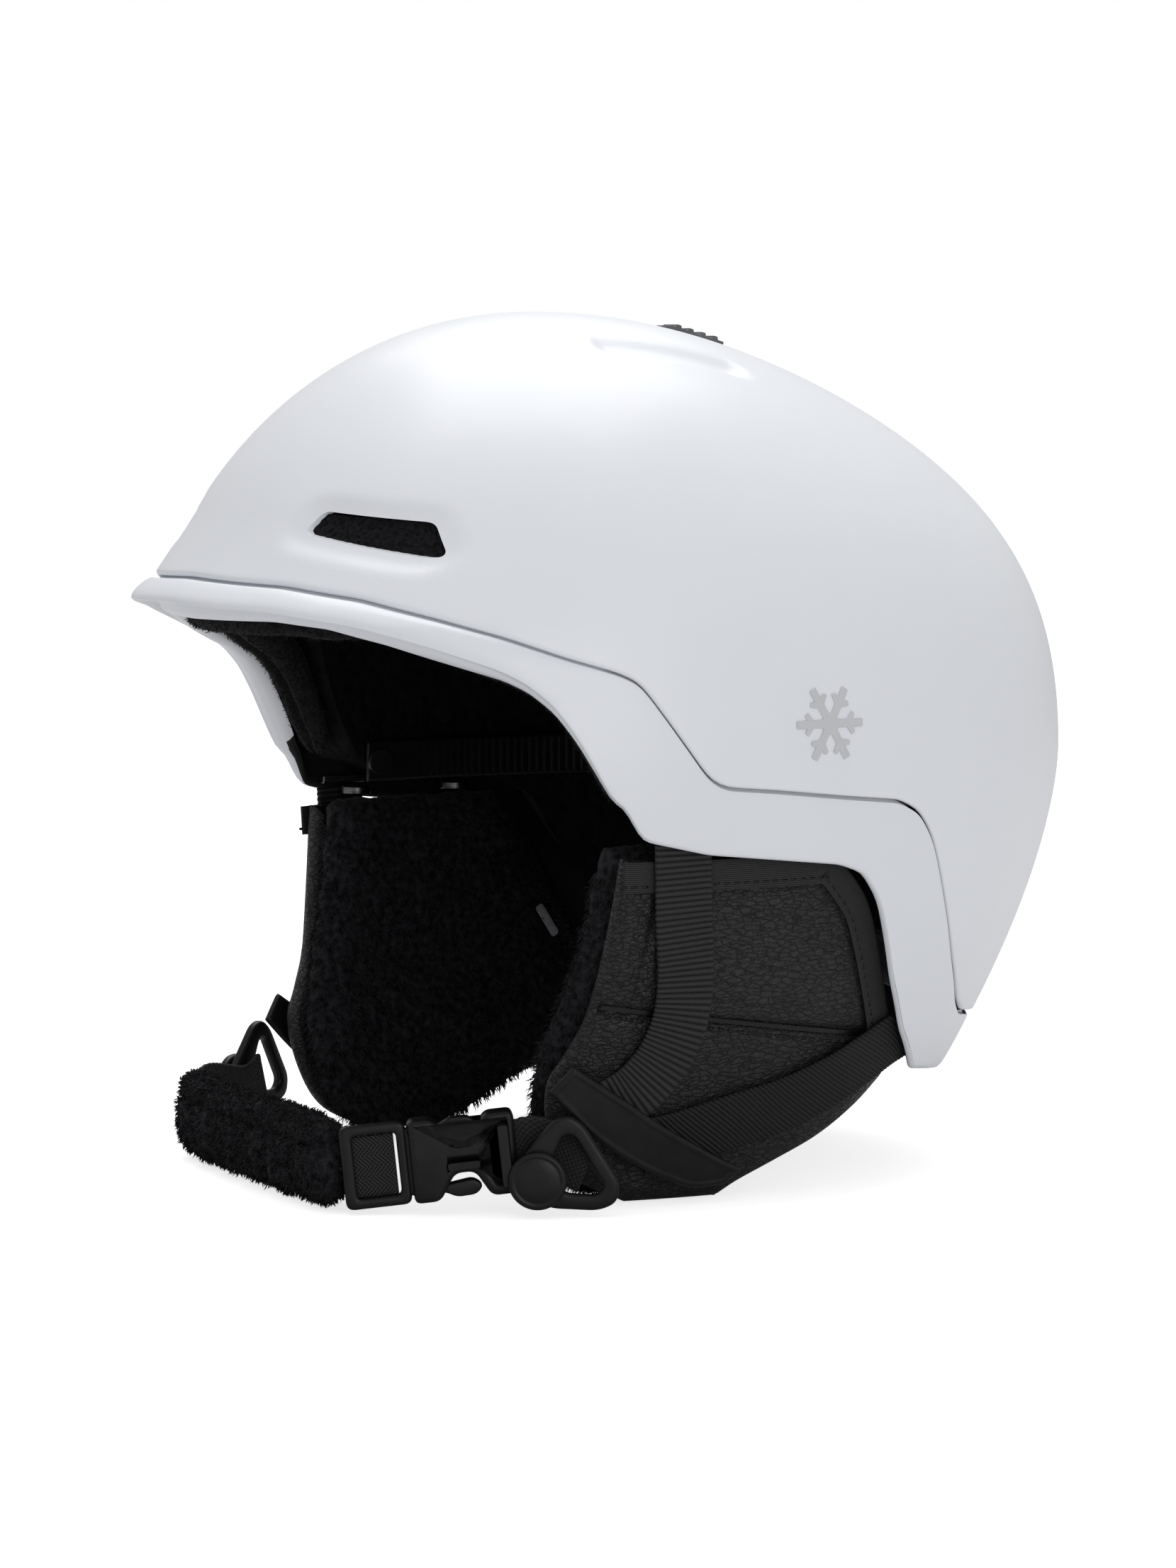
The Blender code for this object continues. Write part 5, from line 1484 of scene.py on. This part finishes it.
def make_chin_pad():
    path = smooth_path(CHIN_PATH, 170)
    normals = level_normals(path)
    place = np.linspace(-1.0, 1.0, len(path))
    share = 1.0 - (1.0 - CHIN_END_SHARE) * place ** 6
    close = np.sqrt(np.clip(1.0 - np.abs(place) ** 40, 0.0, 1.0))
    turn = np.linspace(0.0, 2 * math.pi, 84, endpoint=False)
    swell = (np.abs(np.cos(turn)) ** 3 + np.abs(np.sin(turn)) ** 3) ** (-1.0 / 3.0)
    depth, tall = [(size / 2.0 * share * close - 0.9)[:, None] for size in CHIN_SIZE]
    across = normals[:, None] * (np.maximum(depth, 0.2) * swell * np.cos(turn))[..., None]
    rise = np.maximum(tall, 0.2) * swell * np.sin(turn)
    rows = path[:, None] + across + np.stack([np.zeros_like(rise), np.zeros_like(rise), rise], axis=-1)
    pad = skin("chin_cushion", rows, "plush", caps=False)
    puff(pad, 2.2, 4.0, 0.7)
    quilt_chin(pad)
    ruffle(pad, (12.0, 0.4), (4.0, 0.6), (1.7, 0.45))
    place_piece(pad, "chin_strap", "plush", "chin_pad")
    place_piece(pile(pad, 12000, 2.2, 0.5, 0.35), "chin_strap", "plush")


def quilt_chin(pad):
    """Sew a long seam and upright channels into the front of the chin pad."""
    points, normals = points_of(pad), normals_of(pad)
    dome_points = points / MM + (0.0, MIDDLE_Y, 0.0)
    x, z = dome_points[:, 0], dome_points[:, 2]
    forward = np.clip(-normals[:, 1] * 1.5, 0.0, 1.0)
    groove = 1.8 * np.exp(-((z - 17.8) / 1.1) ** 2)
    for place in (-44.0, -26.0, -6.0, 14.0, 34.0):
        groove = np.maximum(groove, 3.0 * np.exp(-((x - place) / 2.0) ** 2) * (z < 17.5))
    move_points(pad, points - normals * (groove * forward * MM)[:, None])


# ------------------------------------------------------------------ vents and the goggle clip
def make_small_parts():
    refined("vent_knob", "grey_plastic", "vent_slider", "grey_plastic", 0.35, name="slider_knob")
    refined("vent_shutter", "plastic", "vent_slider", "black_plastic", 0.3)
    refined("goggle_base", "plastic", "root", "black_plastic", 0.5)
    refined("goggle_clip", "plastic", "goggle_flap", "black_plastic", 0.5)
    refined("goggle_stud", "steel", "root", "steel", 0.4)


def make_tab():
    """Small clear tab that stands on the plush of the right ear pad."""
    turn = Matrix.Rotation(math.radians(90), 4, "Y") @ Matrix.Rotation(math.radians(33), 4, "Z")
    to_point = in_frame(Matrix.Translation(TAB_CENTRE) @ turn)
    outline = rounded([(-5.6, -1.4), (5.6, -1.4), (5.6, 1.4), (-5.6, 1.4)], 1.0)
    tab = soft_prism("clear_tab", outline, 0.25, 0.2, to_point, "tab")
    place_piece(tab, "ear_right", "grey_plastic")


# ------------------------------------------------------------------ floor, light and camera
def make_studio():
    side = 4.0
    x, y = np.meshgrid(np.linspace(-side, side, 9), np.linspace(-side, side, 9), indexing="ij")
    rows = np.stack([x, y, np.full_like(x, -0.0004)], axis=-1) / MM + (0.0, MIDDLE_Y, 0.0)
    floor = skin("floor", rows, "floor", ring=False, caps=False)
    scene = bpy.context.scene
    world_light = bpy.data.worlds.new("studio")
    world_light.use_nodes = True
    tree = world_light.node_tree
    seen, path = tree.nodes["Background"], tree.nodes.new("ShaderNodeLightPath")
    glow, join = tree.nodes.new("ShaderNodeBackground"), tree.nodes.new("ShaderNodeMixShader")
    seen.inputs["Color"].default_value = glow.inputs["Color"].default_value = (1.0, 1.0, 1.0, 1.0)
    seen.inputs["Strength"].default_value = 1.0
    glow.inputs["Strength"].default_value = SKY_LIGHT
    tree.links.new(path.outputs["Is Camera Ray"], join.inputs["Fac"])
    tree.links.new(glow.outputs["Background"], join.inputs[1])
    tree.links.new(seen.outputs["Background"], join.inputs[2])
    tree.links.new(join.outputs["Shader"], tree.nodes["World Output"].inputs["Surface"])
    scene.world = world_light
    for name, (place, size, power) in LAMPS.items():
        lamp = bpy.data.lights.new(name, "AREA")
        lamp.size = size
        lamp.energy = power
        obj = bpy.data.objects.new(name, lamp)
        obj.location = place
        aim = Vector(LAMP_AIM) - Vector(place)
        obj.rotation_euler = aim.to_track_quat("-Z", "Y").to_euler()
        scene.collection.objects.link(obj)
    scene.view_settings.view_transform = "Standard"


def make_camera():
    turn, rise = math.radians(CAMERA_TURN), math.radians(CAMERA_RISE)
    back = Vector((math.sin(turn) * math.cos(rise), -math.cos(turn) * math.cos(rise), math.sin(rise)))
    data = bpy.data.cameras.new("camera")
    data.lens = CAMERA_LENS
    data.sensor_width = 36.0
    camera = bpy.data.objects.new("camera", data)
    camera.location = Vector(CAMERA_TARGET) + back * CAMERA_DISTANCE
    camera.rotation_euler = (-back).to_track_quat("-Z", "Y").to_euler()
    bpy.context.scene.collection.objects.link(camera)
    bpy.context.scene.camera = camera


def main():
    make_studio()
    make_camera()
    make_upper_shell()
    make_lower_shell()
    make_emblem()
    make_foam()
    make_vent_fleece()
    make_brow_fleece()
    make_crown_pad()
    make_fit_system()
    make_ear_pads()
    make_straps()
    make_yokes()
    make_rings()
    make_chin_webbing()
    make_buckle()
    make_chin_pad()
    make_small_parts()
    make_tab()
    bpy.context.view_layer.update()


main()
